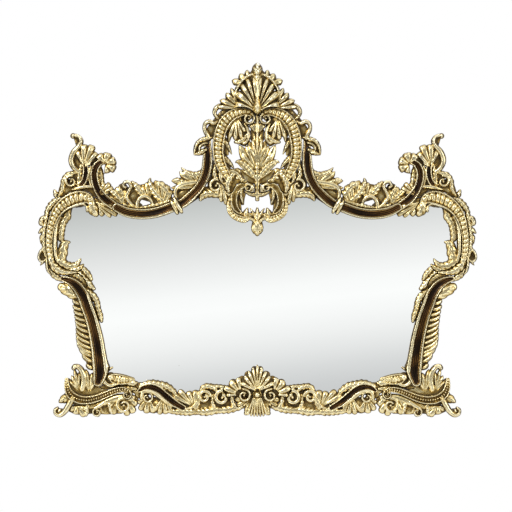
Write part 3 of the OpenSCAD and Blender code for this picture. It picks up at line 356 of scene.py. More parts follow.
EAR_FLAME = [
    bead([[466, 650, 5, 0.6], [471, 682, 6, 0.7], [464, 714, 5, 0.6]]),
    cove([[510, 651, 5, 0.6], [492, 657, 8, 0.8], [483, 676, 9, 0.9], [481, 700, 9, 0.9],
          [487, 722, 6, 0.8]]),
    leaf([[502, 652, 8, 0.6], [499, 682, 9, 0.7], [494, 712, 6, 0.6]]),
    fan([488, 704], [[456, 718], [449, 744], [462, 766], [487, 769], [506, 752]], 0.95, 0.12, -0.4),
    bead([[500, 690, 6, 0.7], [515, 704, 8, 0.85], [522, 724, 8.5, 0.95], [515, 746, 8.5, 1],
          [501, 762, 7.5, 1],
          [494, 777, 6.5, 1], [500, 789, 5.5, 0.9], [511, 794, 5, 0.8]]),
    ground([[496, 704, 8, 0.35], [505, 724, 13, 0.35], [500, 746, 8, 0.35]]),
    dome(517, 792, 8, 0.9),
    leaf([[496, 690, 5, 0.5], [515, 688, 7, 0.7], [533, 682, 9, 0.8], [544, 664, 9, 0.8],
          [547, 640, 8, 0.7], [560, 621, 5, 0.5]], 0.3),
    *curl(522, 664, 17, 100, -380, 0.95),
    bead([[450, 648, 5, 0.8], [475, 650, 6, 0.8], [500, 646, 6.5, 0.8], [520, 641, 3, 0.6]]),
    ground([[498, 666, 7, 0.35], [512, 680, 10, 0.35], [528, 682, 9, 0.35]]),
    ground([[444, 622, 5, 0.35], [460, 627, 9, 0.35], [474, 634, 7, 0.35]]),
    ground([[452, 634, 7, 0.35], [490, 644, 11, 0.35], [530, 652, 19, 0.35], [552, 626, 9, 0.35]]),
    ground([[500, 754, 5, 0.35], [503, 772, 8, 0.35], [511, 788, 5, 0.35]]),
    ground([[476, 652, 4, 0.35], [478, 664, 7, 0.35], [476, 680, 4, 0.35]]),
]

SHOULDER_SCROLL = [
    gadroon([[464, 602, 9, 0.8], [474, 616, 14, 0.95], [496, 619, 20, 1], [520, 612, 20.5, 1],
             [542, 599, 18.5, 1], [561, 579, 16, 1], [573, 554, 13, 1], [580, 526, 11, 0.95],
             [583, 498, 10, 0.95], [582, 470, 9.5, 0.9], [578, 446, 8, 0.8]], 20),
    leaf([[470, 606, 11, 0.8], [463, 592, 17, 0.9], [457, 580, 15, 0.8], [451, 571, 6, 0.6]]),
    bead([[488, 602, 4, 0.7], [479, 595, 4, 0.7], [477, 585, 5, 0.8], [478, 580, 3, 0.6]]),
    leaf([[580, 454, 8, 0.8], [575, 434, 13, 0.9], [560, 417, 14, 0.9], [538, 409, 10, 0.8],
          [508, 409, 5, 0.6]]),
    ground([[474, 604, 5, 0.35], [470, 590, 9, 0.35], [463, 578, 8, 0.35]]),
    leaf([[484, 600, 5, 0.5], [500, 599, 8, 0.6], [516, 597, 7, 0.6], [526, 592, 3, 0.5]]),
]

SHOULDER_LEAVES = [
    leaf([[520, 592, 3, 0.5], [530, 582, 9, 0.6], [535, 566, 13, 0.65], [546, 548, 12, 0.7],
          [551, 528, 12, 0.75], [552, 508, 11, 0.75], [548, 498, 7, 0.6]]),
    bead([[552, 566, 5, 0.8], [562, 543, 6, 0.9], [566, 518, 6.5, 1], [567, 490, 6.5, 1],
          [566, 462, 6, 0.9], [560, 438, 6, 0.8]]),
    leaf([[527, 494, 3, 0.5], [539, 491, 10, 0.7], [545, 478, 15, 0.75], [549, 460, 17, 0.8],
          [552, 442, 15, 0.8]]),
    leaf([[560, 444, 10, 0.8], [546, 433, 15, 0.85], [528, 426, 14, 0.75], [511, 429, 10, 0.7],
          [501, 438, 6, 0.6], [496, 447, 2, 0.4]]),
    leaf([[540, 412, 8, 0.6], [514, 416, 9, 0.7], [498, 422, 8, 0.6], [488, 432, 2, 0.4]]),
]

SHOULDER_FRILL = [
    leaf([[546, 624, 8, 0.6], [563, 611, 11, 0.8], [577, 598, 12, 0.8], [587, 584, 10, 0.7],
          [593, 570, 7, 0.6]], 0.4),
    leaf([[554, 618, 7, 0.5], [564, 627, 9, 0.6], [570, 640, 3, 0.4]]),
    leaf([[588, 580, 6, 0.7], [591, 560, 8, 0.8], [596, 535, 8, 0.8], [599, 510, 8, 0.8],
          [598, 485, 8, 0.8], [595, 462, 8, 0.7], [586, 442, 6, 0.6]], 0.4),
    leaf([[592, 566, 6, 0.6], [602, 559, 9, 0.8], [606, 549, 9, 0.8], [600, 541, 5, 0.6]]),
    leaf([[594, 534, 9, 0.6], [604, 527, 8, 0.6], [614, 519, 2, 0.4]]),
    leaf([[598, 516, 8, 0.6], [605, 507, 7, 0.6], [607, 490, 2, 0.5]]),
    bead([[596, 478, 4, 0.6], [606, 470, 4.5, 0.8], [611, 461, 4.5, 0.8], [612.6, 450, 4.5, 0.8],
          [607, 441, 4.5, 0.7], [598, 441, 4, 0.6]]),
    leaf([[594, 446, 5, 0.6], [602, 437, 4, 0.6], [609, 429, 1.2, 0.4]]),
    leaf([[590, 446, 5, 0.6], [590, 430, 6, 0.7], [587, 414, 5, 0.6], [578, 402, 2, 0.4]]),
    ground([[594, 562, 5, 0.35], [602, 552, 6, 0.35], [602, 542, 5, 0.35]]),
    ground([[596, 478, 4, 0.35], [603, 464, 7, 0.35], [603, 446, 7, 0.35]]),
]

LEG_CHANNEL = [
    cove([[548, 392, 7, 0.7], [526, 385, 12, 0.85], [506, 370, 16, 0.95], [489, 345, 18, 1],
          [478, 315, 18, 1], [467, 285, 18, 1], [458, 252, 18.5, 1], [451, 220, 19.5, 1],
          [446, 188, 20, 1], [442, 156, 21.5, 1], [440, 128, 21, 1], [447, 100, 14, 0.8]]),
    bead([[478, 350, 4, 0.9], [466, 317, 5.5, 1], [455, 287, 5.5, 1], [446, 254, 6, 1], [438, 222, 6, 1],
          [432.5, 189, 6, 1], [427.5, 157, 6.5, 1], [425, 130, 6, 0.95]]),
    leaf([[586, 422, 4, 0.6], [575, 407, 10, 0.7], [562, 396, 10, 0.7], [549, 388, 6, 0.5]]),
    leaf([[480, 372, 6, 0.4], [494, 391, 9, 0.5], [514, 402, 9, 0.5], [538, 403, 4, 0.5]]),
    leaf([[426, 168, 3, 0.6], [423, 153, 6, 0.6], [419, 140, 6, 0.6], [424, 126, 5, 0.5]]),
]

LEG_WAVE = [
    leaf([[500, 408, 9, 0.7], [488, 392, 11, 0.9], [474, 376, 12, 1], [458, 362, 5, 0.8]]),
    leaf([[494, 426, 5, 0.6], [484, 414, 9, 0.7], [474, 402, 9, 0.7], [466, 388, 5, 0.5]]),
    leaf([[480, 360, 8, 0.8], [463, 345, 11, 0.9], [452, 328, 10, 0.9], [447, 306, 9, 0.8],
          [441, 286, 9, 0.8], [437, 270, 4, 0.6]]),
]

LEG_FEATHER = [
    *feather([[501, 344, 13, 0.9], [493, 312, 22, 1], [484, 282, 26, 1], [475, 250, 32.5, 1],
             [470, 218, 38, 1], [467, 190, 40, 1], [465, 168, 32, 0.9], [464, 134, 10, 0.7]], 14),
    leaf([[498, 336, 9, 0.8], [518, 350, 17, 0.9], [536, 363, 19, 0.9], [549, 368, 13, 0.6]]),
]

FOOT_SCROLL = [
    pearled([[535, 110, 5, 0.7], [533, 88, 8.5, 0.85], [524, 68, 11.5, 0.95], [502, 54, 12.5, 1],
             [476, 51, 12, 1], [450, 56, 11, 0.95], [425, 66, 10, 0.9], [400, 76, 9, 0.9],
             [380, 80, 8, 0.8], [366, 78, 6, 0.7], [356, 70, 5, 0.6]]),
    *curl(366, 66, 14, 130, 330, 0.9),
    leaf([[340, 82, 6, 0.4], [362, 84, 9, 0.45], [388, 88, 7, 0.4], [408, 80, 4, 0.4]]),
    leaf([[526, 64, 14, 0.5], [541, 54, 13, 0.5], [551, 48, 7, 0.45], [556, 44, 2, 0.35]]),
    bead([[518, 56, 9, 0.7], [530, 34, 9, 0.8], [542, 17, 8, 0.85], [554, 9, 7, 0.9], [565, 13, 6, 0.9],
          [567, 23, 5, 0.9], [560, 29, 4, 0.8]]),
    dome(556, 20, 7, 0.95),
    ground([[548, 20, 7, 0.35], [558, 20, 8, 0.35], [564, 26, 4, 0.35]]),
]

FOOT_FLAME = [
    bead([[492, 78, 8, 0.7], [486, 104, 10, 0.9], [490, 128, 9, 1], [501, 143, 8, 1], [514, 146, 6, 0.9]]),
    dome(514, 141, 8, 1),
    fan([500, 74], [[498, 132], [514, 138], [522, 120], [526, 104]], 0.7, 0.12, 0.7),
    fan([470, 72], [[452, 106], [462, 128], [482, 138], [488, 110]], 0.8, 0.12, 0.7),
    ground([[408, 88, 5, 0.5], [432, 80, 13, 0.5], [466, 75, 17, 0.5], [502, 78, 17, 0.5],
            [521, 92, 12, 0.5], [531, 108, 5, 0.4]]),
]

FOOT_CURL = [
    leaf([[338, 98, 5, 0.6], [352, 97, 11, 0.8], [368, 97, 6, 0.6]]),
    gadroon([[350, 106, 8, 0.7], [372, 108, 13, 0.9], [390, 109, 16, 0.95], [402, 112, 14, 0.9]], 7),
    bead([[388, 98, 6, 0.7], [412, 92, 6, 0.9], [429, 104, 7, 1], [430, 126, 7, 1], [407, 142, 3, 0.6]]),
    dome(412, 115, 14, 1),
    leaf([[370, 92, 6, 0.5], [396, 94, 10, 0.6], [421, 98, 12, 0.6], [437, 110, 8, 0.5]]),
    ground([[438, 90, 8, 0.35], [418, 88, 9, 0.35], [396, 88, 6, 0.35]]),
]

FOOT_LOBES = [
    bead([[506, 30, 5, 0.5], [470, 32, 8, 0.6], [430, 44, 10, 0.7], [390, 56, 12, 0.7],
          [352, 56, 12, 0.7]]),
    fan([506, 36], [[526, 24], [510, 10], [480, 6], [470, 20]], 0.7),
    leaf([[476, 44, 6, 0.7], [477, 28, 9, 0.95], [479, 14, 6, 0.85], [480, 5, 1.5, 0.6]]),
    fan([448, 50], [[462, 12], [448, 3], [434, 12]], 0.6),
    bead([[428, 46, 6, 0.8], [441, 36, 7, 0.9], [456, 28, 6, 1]]),
    *curl(449, 17, 13, 50, -340, 1),
    fan([388, 64], [[420, 26], [406, 10], [384, 12]], 0.7),
    leaf([[416, 46, 7, 0.8], [413, 30, 9, 1], [408, 14, 4, 0.8]]),
    fan([368, 56], [[384, 18], [366, 6], [346, 14], [336, 38], [342, 58]], 0.7),
    *curl(374, 36, 22, 100, -420, 1),
    ground([[528, 24, 6, 0.4], [500, 25, 16, 0.4], [462, 26, 14, 0.4], [424, 28, 18, 0.4],
            [388, 26, 14, 0.4]]),
    ground([[520, 44, 5, 0.35], [500, 40, 8, 0.35], [478, 38, 6, 0.35]]),
    ground([[352, 60, 7, 0.35], [342, 52, 8, 0.35], [338, 44, 6, 0.35]]),
]

BASE_SHELL = [
    fan([0, 44], both_ways([[9, 146], [28, 132], [50, 116], [76, 106], [96, 84]]), 0.35, 0.1),
    fan([0, 74], [[-46, 100], [-36, 118], [-24, 132], [-12, 142], [0, 150], [12, 142], [24, 132], [36, 118],
                  [46, 100]], 1, 0.12, 0.5),
    *pair(fan([44, 66], [[54, 114], [76, 106], [96, 84], [90, 64]], 0.8, 0.3, 0.5)),
    *pair(*curl(37, 64, 19, 80, 400, 0.95)),
    fan([0, 92], [[27, 8], [18, 5], [9, 4], [0, 4], [-9, 4], [-18, 5], [-27, 8]], 0.75, 0.4),
    dome(0, 66, 13, 0.95),
    *pair(leaf([[2, 84, 5, 0.9], [14, 88, 7, 0.95], [26, 88, 5, 0.9]])),
    *pair(fan([14, 58], [[62, 52], [58, 32], [40, 32]], 0.5)),
    *pair(leaf([[18, 51, 11, 0.45], [36, 51, 11, 0.45], [58, 51, 9, 0.4]])),
    *pair(leaf([[20, 46, 7, 0.5], [27, 30, 9, 0.5], [32, 12, 6, 0.45]])),
]

BASE_RAIL = [
    leaf([[38, 34, 7, 0.6], [56, 31, 12, 0.75], [80, 25, 13, 0.8], [106, 22, 11, 0.7]], 0.3),
    leaf([[98, 24, 8, 0.6], [120, 22, 13, 0.8], [146, 18, 13, 0.8], [172, 19, 10, 0.7]], 0.3),
    leaf([[160, 20, 7, 0.6], [184, 18, 12, 0.8], [208, 18, 12, 0.75], [232, 19, 10, 0.7],
          [250, 20, 6, 0.6]], 0.3),
    leaf([[70, 78, 4, 0.6], [84, 84, 7, 0.8], [104, 88, 7, 0.8], [124, 90, 6, 0.7], [150, 94, 2, 0.5]], 0.3),
    leaf([[60, 28, 6, 0.6], [68, 42, 9, 0.85], [71, 58, 7, 0.8], [66, 74, 3, 0.6]], 0.3),
    leaf([[116, 26, 6, 0.6], [124, 38, 9, 0.85], [126, 54, 6, 0.8], [123, 68, 3, 0.6]], 0.3),
    leaf([[178, 22, 6, 0.6], [169, 34, 9, 0.85], [162, 46, 5, 0.7]], 0.3),
    *curl(99, 58, 22, 150, -400, 1, 0.34),
    *curl(148, 60, 18, 170, -400, 1, 0.36),
    leaf([[110, 74, 5, 0.6], [122, 84, 9, 0.85], [138, 89, 10, 0.9], [152, 85, 9, 0.8],
          [160, 74, 5, 0.6]], 0.3),
    leaf([[164, 74, 5, 0.7], [168, 50, 8, 0.9], [180, 32, 8, 0.85], [200, 26, 5, 0.6]]),
    fan([176, 30], [[154, 66], [172, 79], [196, 75], [220, 79], [238, 66]], 0.8),
    ground([[130, 34, 8, 0.4], [158, 31, 8, 0.4], [184, 31, 7, 0.4]]),
    ground([[234, 31, 7, 0.4], [254, 30, 8, 0.4]]),
    ground([[58, 58, 18, 0.4], [90, 54, 24, 0.4], [122, 54, 26, 0.4], [154, 55, 24, 0.4],
            [184, 50, 22, 0.4], [212, 50, 19, 0.4], [234, 58, 13, 0.4], [252, 68, 6, 0.4]]),
    cove([[206, 28, 9, 0.8], [231, 42, 11, 0.95], [252, 59, 11.5, 1], [273, 77, 11.5, 1],
          [295, 87, 11.5, 1], [317, 86, 9, 0.9], [333, 76, 5, 0.7]]),
    bead([[240, 34, 7, 0.7], [268, 56, 7, 0.8], [300, 77, 7, 0.85], [320, 73, 7, 0.85], [325, 54, 6, 0.7]]),
    *curl(308, 58, 17, 60, 380, 0.95),
    fan([264, 62], [[288, 22], [276, 10], [256, 11], [238, 13]], 0.7),
    fan([306, 62], [[336, 42], [331, 22], [312, 13], [290, 17]], 0.7),
    leaf([[322, 46, 10, 0.4], [302, 38, 22, 0.45], [276, 34, 22, 0.45], [252, 26, 12, 0.4]]),
    ground([[310, 78, 16, 0.4], [330, 82, 18, 0.4], [352, 82, 10, 0.4]]),
    leaf([[226, 64, 5, 0.6], [238, 77, 10, 0.8], [256, 89, 12, 1], [276, 95, 11, 1], [298, 99, 10, 1],
          [316, 95, 8, 0.9], [332, 89, 5, 0.7]], 0.35),
    ground([[322, 92, 8, 0.35], [338, 90, 10, 0.35], [354, 86, 6, 0.35]]),
    ground([[316, 60, 8, 0.35], [330, 62, 8, 0.35], [339, 67, 6, 0.35]]),
]

# Each casting: its strokes, its relief, the castings it gives way to, and whether it stands in the middle
CASTINGS = {
    "crest_shell": (CREST_SHELL, SHELL_RELIEF, ["crest_scroll"], True),
    "crest_palmette": (CREST_PALMETTE, LEAF_RELIEF, ["crest_scroll", "crest_shell"], True),
    "crest_pendant": (CREST_PENDANT, SCROLL_RELIEF, ["crest_scroll", "crest_palmette"], True),
    "base_shell": (BASE_SHELL, SCROLL_RELIEF, [], True),
    "crest_scroll": (CREST_SCROLL, SCROLL_RELIEF, [], False),
    "crest_frill": (CREST_FRILL, LEAF_RELIEF, ["crest_scroll", "crest_shell"], False),
    "crest_rail": (CREST_RAIL, MOULDING_RELIEF, ["crest_scroll", "crest_frill", "rail_collar"], False),
    "crest_spray": (CREST_SPRAY, LEAF_RELIEF, ["crest_rail", "rail_collar"], False),
    "crest_wing": (CREST_WING, LEAF_RELIEF, ["crest_rail", "crest_scroll", "crest_pendant"], False),
    "rail_collar": (RAIL_COLLAR, SCROLL_RELIEF, [], False),
    "top_rail": (TOP_RAIL, MOULDING_RELIEF, ["rail_collar"], False),
    "rail_leaves": (RAIL_LEAVES, LEAF_RELIEF, ["top_rail", "rail_collar", "ear_hook", "crest_spray"], False),
    "ear_hook": (EAR_HOOK, MOULDING_RELIEF, ["top_rail", "shoulder_scroll"], False),
    "ear_flame": (EAR_FLAME, LEAF_RELIEF, ["ear_hook", "shoulder_scroll"], False),
    "shoulder_scroll": (SHOULDER_SCROLL, SCROLL_RELIEF, [], False),
    "shoulder_leaves": (SHOULDER_LEAVES, LEAF_RELIEF, ["shoulder_scroll"], False),
    "shoulder_frill": (SHOULDER_FRILL, LEAF_RELIEF, ["shoulder_scroll", "ear_flame"], False),
    "leg_channel": (LEG_CHANNEL, MOULDING_RELIEF, ["shoulder_scroll", "shoulder_leaves", "shoulder_frill"],
                    False),
    "leg_wave": (LEG_WAVE, LEAF_RELIEF, ["leg_channel", "shoulder_leaves", "shoulder_scroll"], False),
    "leg_feather": (LEG_FEATHER, LEAF_RELIEF, ["leg_channel"], False),
    "foot_scroll": (FOOT_SCROLL, SCROLL_RELIEF, [], False),
    "foot_flame": (FOOT_FLAME, LEAF_RELIEF, ["foot_scroll", "foot_curl", "leg_channel", "leg_feather"],
                   False),
    "foot_curl": (FOOT_CURL, LEAF_RELIEF, ["foot_scroll", "leg_channel"], False),
    "foot_lobes": (FOOT_LOBES, LEAF_RELIEF, ["foot_scroll", "base_rail"], False),
    "base_rail": (BASE_RAIL, MOULDING_RELIEF, ["base_shell", "foot_scroll", "foot_curl"], False),
}


# Carving: each stroke gives how far a point is inside its edge, how high the relief is there, and its lacquer

# The sheet covers the right half of the mirror, with a few grid points to spare past each side
SHEET_WIDTH = 636.0
SHEET_HEIGHT = 1006.0
OUTSIDE = -50.0
xs = np.arange(-4, int(SHEET_WIDTH / GRAIN) + 4) * GRAIN
zs = np.arange(-8, int(SHEET_HEIGHT / GRAIN) + 4) * GRAIN

Along = namedtuple("Along", "inside across run width share total")


def along(rows, X, Z):
    """Each point against a stroke: how far it is inside the plain edge, its place across (left 1, right -1),
    its run from the start, the half width and share of the relief there, and the stroke's total length."""
    path = np.array(laid_out(rows, STROKE_POINTS))
    runs = np.concatenate([[0], np.cumsum(np.hypot(*np.diff(path[:, :2], axis=0).T))])
    inside = np.full(X.shape, OUTSIDE)
    across, run, width, share = (np.zeros(X.shape) for _ in range(4))
    last = len(path) - 2
    for k in range(last + 1):
        start, end = path[k], path[k + 1]
        step = end[:2] - start[:2]
        size = max(float(np.hypot(*step)), 1e-6)
        forward = ((X - start[0]) * step[0] + (Z - start[1]) * step[1]) / size ** 2
        sideways = (-(X - start[0]) * step[1] + (Z - start[1]) * step[0]) / size
        before = np.maximum(-forward, 0) if k == 0 else 0
        past = np.maximum(forward - 1, 0) if k == last else 0
        held = np.clip(forward, 0, 1)
        over = before + past
        gap = np.where(over > 0, END_BLUNTNESS * over * size, (forward - held) * size)
        off = np.hypot(sideways, gap)
        half = np.maximum(start[2] + (end[2] - start[2]) * held, THINNEST)
        better = half - off > inside
        inside[better] = (half - off)[better]
        across[better] = (np.sign(sideways) * off / half)[better]
        run[better] = (runs[k] + held * size)[better]
        width[better] = half[better]
        share[better] = (start[3] + (end[3] - start[3]) * held)[better]
    return Along(inside, np.clip(across, -1, 1), run, width, share, runs[-1])


def bump(t, centre, half):
    """A round roll of the given half width, 0 outside it."""
    return np.sqrt(np.clip(1 - ((t - centre) / half) ** 2, 0, 1))


def groove(t, half):
    """A soft groove down the middle, 1 at its bottom."""
    return np.exp(-(t / half) ** 2)


# In these sections a height is a share of the relief, and a place across is 0 in the middle and 1 at the edge

def carve_bead(stroke, X, Z):
    """A plain round roll."""
    at = along(stroke["rows"], X, Z)
    return at.inside, at.share * (SHOULDER + (1 - SHOULDER) * bump(at.across, 0, 1)), 0


def carve_leaf(stroke, X, Z):
    """A crowned leaf; where its half width is over 3.5 mm it has a vein and lobes that slant back from it."""
    at = along(stroke["rows"], X, Z)
    side = np.abs(at.across)
    pitch = max(LOBE_PITCH, 1.05 * max(row[2] for row in stroke["rows"]))
    lobe = np.abs(np.sin(math.pi * (at.run - 0.95 * at.width * side) / pitch))
    strength = np.clip((at.width - 3.5) / 4, 0, 1) * (stroke["ruffle"] > 0)
    edge = at.inside - stroke["ruffle"] * at.width * strength * (1 - lobe) * side ** 2
    crown = SHOULDER + (1 - SHOULDER) * (1 - side ** 1.7)
    folds = 1 - 0.3 * strength * (1 - lobe ** 0.8) * np.clip(side * 2.2, 0, 1)
    vein = 1 - 0.14 * groove(at.across, 0.14) * strength
    return edge, at.share * crown * folds * vein, 0


def carve_ground(stroke, X, Z):
    """The low ground between raised strokes, punched with rows of shallow pits."""
    at = along(stroke["rows"], X, Z)
    pits = (np.sin(math.pi * at.run / PIT_PITCH) * np.sin(math.pi * at.across * at.width / PIT_PITCH)) ** 2
    return at.inside, at.share * (0.5 + 0.3 * bump(at.across, 0, 1) - 0.12 * pits), 0


def carve_cove(stroke, X, Z):
    """A hollow between two round fillets, ridged along it by the scraper; its lacquer is rubbed thin in long
    streaks and patches, whose amber doubles as painted glints, and stops short of the fillets."""
    at = along(stroke["rows"], X, Z)
    side = np.abs(at.across)
    off = at.across * at.width
    # The lip of the hollow: both its place across and its height
    lip = 0.56
    ridges = 0.014 * (1 + np.cos(2 * math.pi * off / RIDGE_PITCH))
    hollow = 1 - COVE_DEPTH / MOULDING_RELIEF + 0.3 * np.clip(side / lip, 0, 1) ** 2 - ridges
    fillet = lip + (1 - lip) * bump(side, 0.79, 0.21)
    height = np.where(side < 0.52, hollow, np.where(side < 0.6, lip, fillet))
    # Streaks and patches where the lacquer is thinner: partly wear, partly painted glints that show amber
    scratch_glints = np.sin(off / 0.8 + np.sin(at.run / 31))
    patch_glints = np.sin(at.run / 19 + 1.7 * np.sin(at.run / 43) + 1.5 * at.across)
    rubbed_and_highlit = 0.86 - 0.26 * (0.55 * scratch_glints + 0.45 * patch_glints)
    return at.inside, at.share * height, stroke["lacquer"] * np.clip((lip - side) / 0.1, 0, 1) * rubbed_and_highlit


def carve_pearled(stroke, X, Z):
    """A band with a fillet on each edge and a row of pearls between them."""
    at = along(stroke["rows"], X, Z)
    side = np.abs(at.across)
    fillet = 0.5 + 0.5 * bump(side, 0.82, 0.18)
    step = np.mod(at.run, PEARL_PITCH) - PEARL_PITCH / 2
    ball = np.sqrt(np.clip(1 - (step / 2.9) ** 2 - (at.across * at.width / 3.2) ** 2, 0, 1))
    bed = 0.45
    middle = np.maximum(bed + 0.45 * ball, bed + 0.12 * bump(side, 0.5, 0.12))
    return at.inside, at.share * np.where(side > 0.64, fillet, middle), 0


def carve_gadroon(stroke, X, Z):
    """A full band of slanting ribs, with a fillet on each edge."""
    at = along(stroke["rows"], X, Z)
    pitch = at.total / stroke["ribs"]
    rib = np.abs(np.cos(math.pi * (at.run / pitch + 0.18 * at.across)))
    body = 0.46 + 0.44 * bump(at.across, 0.05, 0.75)
    fillet = 0.55 + 0.45 * bump(np.abs(at.across), 0.84, 0.16)
    height = np.where(np.abs(at.across) > 0.68, fillet, body * (0.68 + 0.32 * rib ** 0.45))
    return at.inside, at.share * height, 0


def carve_dome(stroke, X, Z):
    """A ball inside a thin ring."""
    x, z, radius, share = stroke["rows"][0]
    off = np.hypot(X - x, Z - z)
    out = off / radius
    ball = 0.3 + 0.7 * bump(out, 0, 0.72)
    ring = 0.3 + 0.22 * bump(out, 0.87, 0.13)
    return radius - off, share * np.where(out < 0.7, ball, ring), 0


def carve_fan(stroke, X, Z):
    """Lobes spread from a root: each swells from the heel, is round across its back with a faint vein, and
    dips to its tip, and between two lobes the edge falls back to a notch."""
    x0, z0 = stroke["root"]
    point = stroke["point"]
    tips = np.array([[x - x0, z - z0] for x, z, _, _ in stroke["rows"]])
    bearing = np.degrees(np.arctan2(tips[:, 1], tips[:, 0]))
    steps = np.concatenate([[0], np.cumsum(np.mod(bearing[:-1] - bearing[1:], 360))])
    reach = np.hypot(tips[:, 0], tips[:, 1])
    last = len(tips) - 1
    first_gap = steps[1]
    last_gap = steps[-1] - steps[-2]
    away = np.hypot(X - x0, Z - z0)
    angle = np.mod(bearing[0] - np.degrees(np.arctan2(Z - z0, X - x0)) + 60, 360) - 60
    # Place is counted in lobes, from 0 on the first tip; aside is how far off the nearest lobe's middle it is
    place = np.interp(angle, steps, np.arange(last + 1))
    place = np.where(angle > steps[-1], last + (angle - steps[-1]) / last_gap, place)
    place = np.where(angle < 0, angle / first_gap, place)
    nearest = np.clip(np.round(place), 0, last).astype(int)
    aside = np.abs(place - nearest)
    left = place < nearest
    # The edge: from the notch beside the lobe out to its tip
    notches = np.array([0.9 * np.hypot(*((tips[i] + tips[i + 1]) / 2)) for i in range(last)])
    notch = notches[np.where(left, np.clip(nearest - 1, 0, last - 1), np.clip(nearest, 0, last - 1))]
    notch = np.minimum(notch, 0.93 * reach[nearest]) * (1 - 0.12 * point)
    round_end = np.sqrt(np.clip(1 - (2 * aside) ** 2, 0, 1))
    sharp_end = np.clip(1 - 2 * aside, 0, 1) ** 0.8
    edge = notch + (reach[nearest] - notch) * (round_end + point * (sharp_end - round_end))
    # Half the angle between two tips, and with it the outer side of the first and last lobe
    before = steps[nearest] - steps[np.maximum(nearest - 1, 0)]
    after = steps[np.minimum(nearest + 1, last)] - steps[nearest]
    half = np.where(left, before, after) / 2
    half = np.where(half <= 0, np.where(left, first_gap, last_gap) / 2, half)
    lobe_width = 2 * np.radians(half) * away
    inside = edge - away
    inside = np.where((place < 0) | (place > last), np.minimum(inside, (0.42 - aside) * lobe_width), inside)
    inside = np.minimum(inside, away - stroke["heel"] * reach[nearest])
    # The height: along the lobe, across it, and the vein on its back
    out = np.clip(away / np.maximum(edge, 1), 0, 1)
    rising = 0.5 + 0.5 * np.sin(0.5 * math.pi * out / 0.7)
    dipping = 1 - 0.42 * ((out - 0.7) / 0.3) ** 2
    swell = np.where(out < 0.7, rising, dipping)
    back = 1 - (0.26 + 0.38 * out) * (1 - np.sqrt(np.clip(1 - (1.95 * aside) ** 2, 0, 1)))
    vein = 1 - 0.07 * np.clip(lobe_width / 9 - 0.7, 0, 1) * groove(aside, 0.09)
    return inside, stroke["rows"][0][3] * swell * back * vein, 0


CARVE = dict(bead=carve_bead, leaf=carve_leaf, ground=carve_ground, cove=carve_cove, pearled=carve_pearled,
             gadroon=carve_gadroon, dome=carve_dome, fan=carve_fan)


def window(stroke):
    """The part of the sheet that a stroke can reach."""
    points = [row[:2] for row in stroke["rows"]] + ([stroke["root"]] if "root" in stroke else [])
    x, z = np.array(points, float).T
    spare = max(row[2] for row in stroke["rows"]) + 12
    j0, j1 = np.searchsorted(xs, [x.min() - spare, x.max() + spare])
    i0, i1 = np.searchsorted(zs, [z.min() - spare, z.max() + spare])
    return slice(max(i0 - 2, 0), i1 + 2), slice(max(j0 - 2, 0), j1 + 2)


def carve(strokes, relief):
    """The whole sheet for one casting: distance inside its edge, height, and the lacquered hollows."""
    inside = np.full((len(zs), len(xs)), OUTSIDE)
    height = np.zeros_like(inside)
    lacquer = np.zeros_like(inside)
    for stroke in strokes:
        i, j = window(stroke)
        X, Z = np.meshgrid(xs[j], zs[i])
        near, high, coat = CARVE[stroke["kind"]](stroke, X, Z)
        high = np.where(near > 0, high, 0)
        lacquer[i, j] = np.where(high > height[i, j], coat, lacquer[i, j])
        height[i, j] = np.maximum(height[i, j], high)
        inside[i, j] = np.maximum(inside[i, j], near)
    top = max(row[3] for stroke in strokes for row in stroke["rows"])
    return inside, height * relief / top, lacquer


def blurred(sheet, radius):
    """The sheet softened by a bell of the given radius in millimetres."""
    reach = int(math.ceil(2.5 * radius / GRAIN))
    weights = np.exp(-0.5 * (np.arange(-reach, reach + 1) * GRAIN / radius) ** 2)
    weights /= weights.sum()
    for axis in (0, 1):
        sheet = sum(w * np.roll(sheet, k, axis) for k, w in zip(range(-reach, reach + 1), weights))
    return sheet


def softened(sheet, mask, radius):
    """The sheet blurred inside the mask only, and carried on a little past its edge."""
    return blurred(sheet * mask, radius) / np.maximum(blurred(mask.astype(float), radius), 0.02)


# From the carved sheet to a closed casting

# The top of a wall: its share of the relief beside it, its least height in millimetres, and the share of a
# grid step by which it keeps clear of the points on both sides
RIM_SHARE = 0.92
LOWEST_WALL = 1.5
RIM_CLEAR = 0.06

# The tone of a casting's back: a little dull, and neither worn nor painted with a highlight, nor lacquered
PLAIN_BACK = [0.12, 0.0, 0.0]


def corners_of_cells(sheet):
    return sheet[:-1, :-1], sheet[:-1, 1:], sheet[1:, 1:], sheet[1:, :-1]


def front_points(X, Z, inside, tones, height):
    """The carved front's points with their tones, and the numbers of those on the grid and on the rim."""
    solid = inside > 0
    rows, cols = inside.shape
    on_grid = np.full((rows, cols), -1)
    on_grid[solid] = np.arange(solid.sum())
    places = [np.stack([X[solid], height[solid], Z[solid]], axis=1)]
    values = [tones[solid]]
    count = int(solid.sum())
    on_rim = []
    for di, dj in ((0, 1), (1, 0)):
        a = (slice(0, rows - di), slice(0, cols - dj))
        b = (slice(di, rows), slice(dj, cols))
        cross = solid[a] != solid[b]
        part = np.clip(inside[a] / np.where(cross, inside[a] - inside[b], 1), RIM_CLEAR, 1 - RIM_CLEAR)
        rise = np.maximum(RIM_SHARE * (height[a] + (height[b] - height[a]) * part), LOWEST_WALL)
        place = np.stack([X[a] + (X[b] - X[a]) * part, rise, Z[a] + (Z[b] - Z[a]) * part], axis=2)
        numbers = np.full(cross.shape, -1)
        numbers[cross] = count + np.arange(cross.sum())
        places.append(place[cross])
        values.append(np.where(solid[a][..., None], tones[a], tones[b])[cross])
        on_rim.append(numbers)
        count += int(cross.sum())
    return np.concatenate(places), np.concatenate(values), on_grid, on_rim


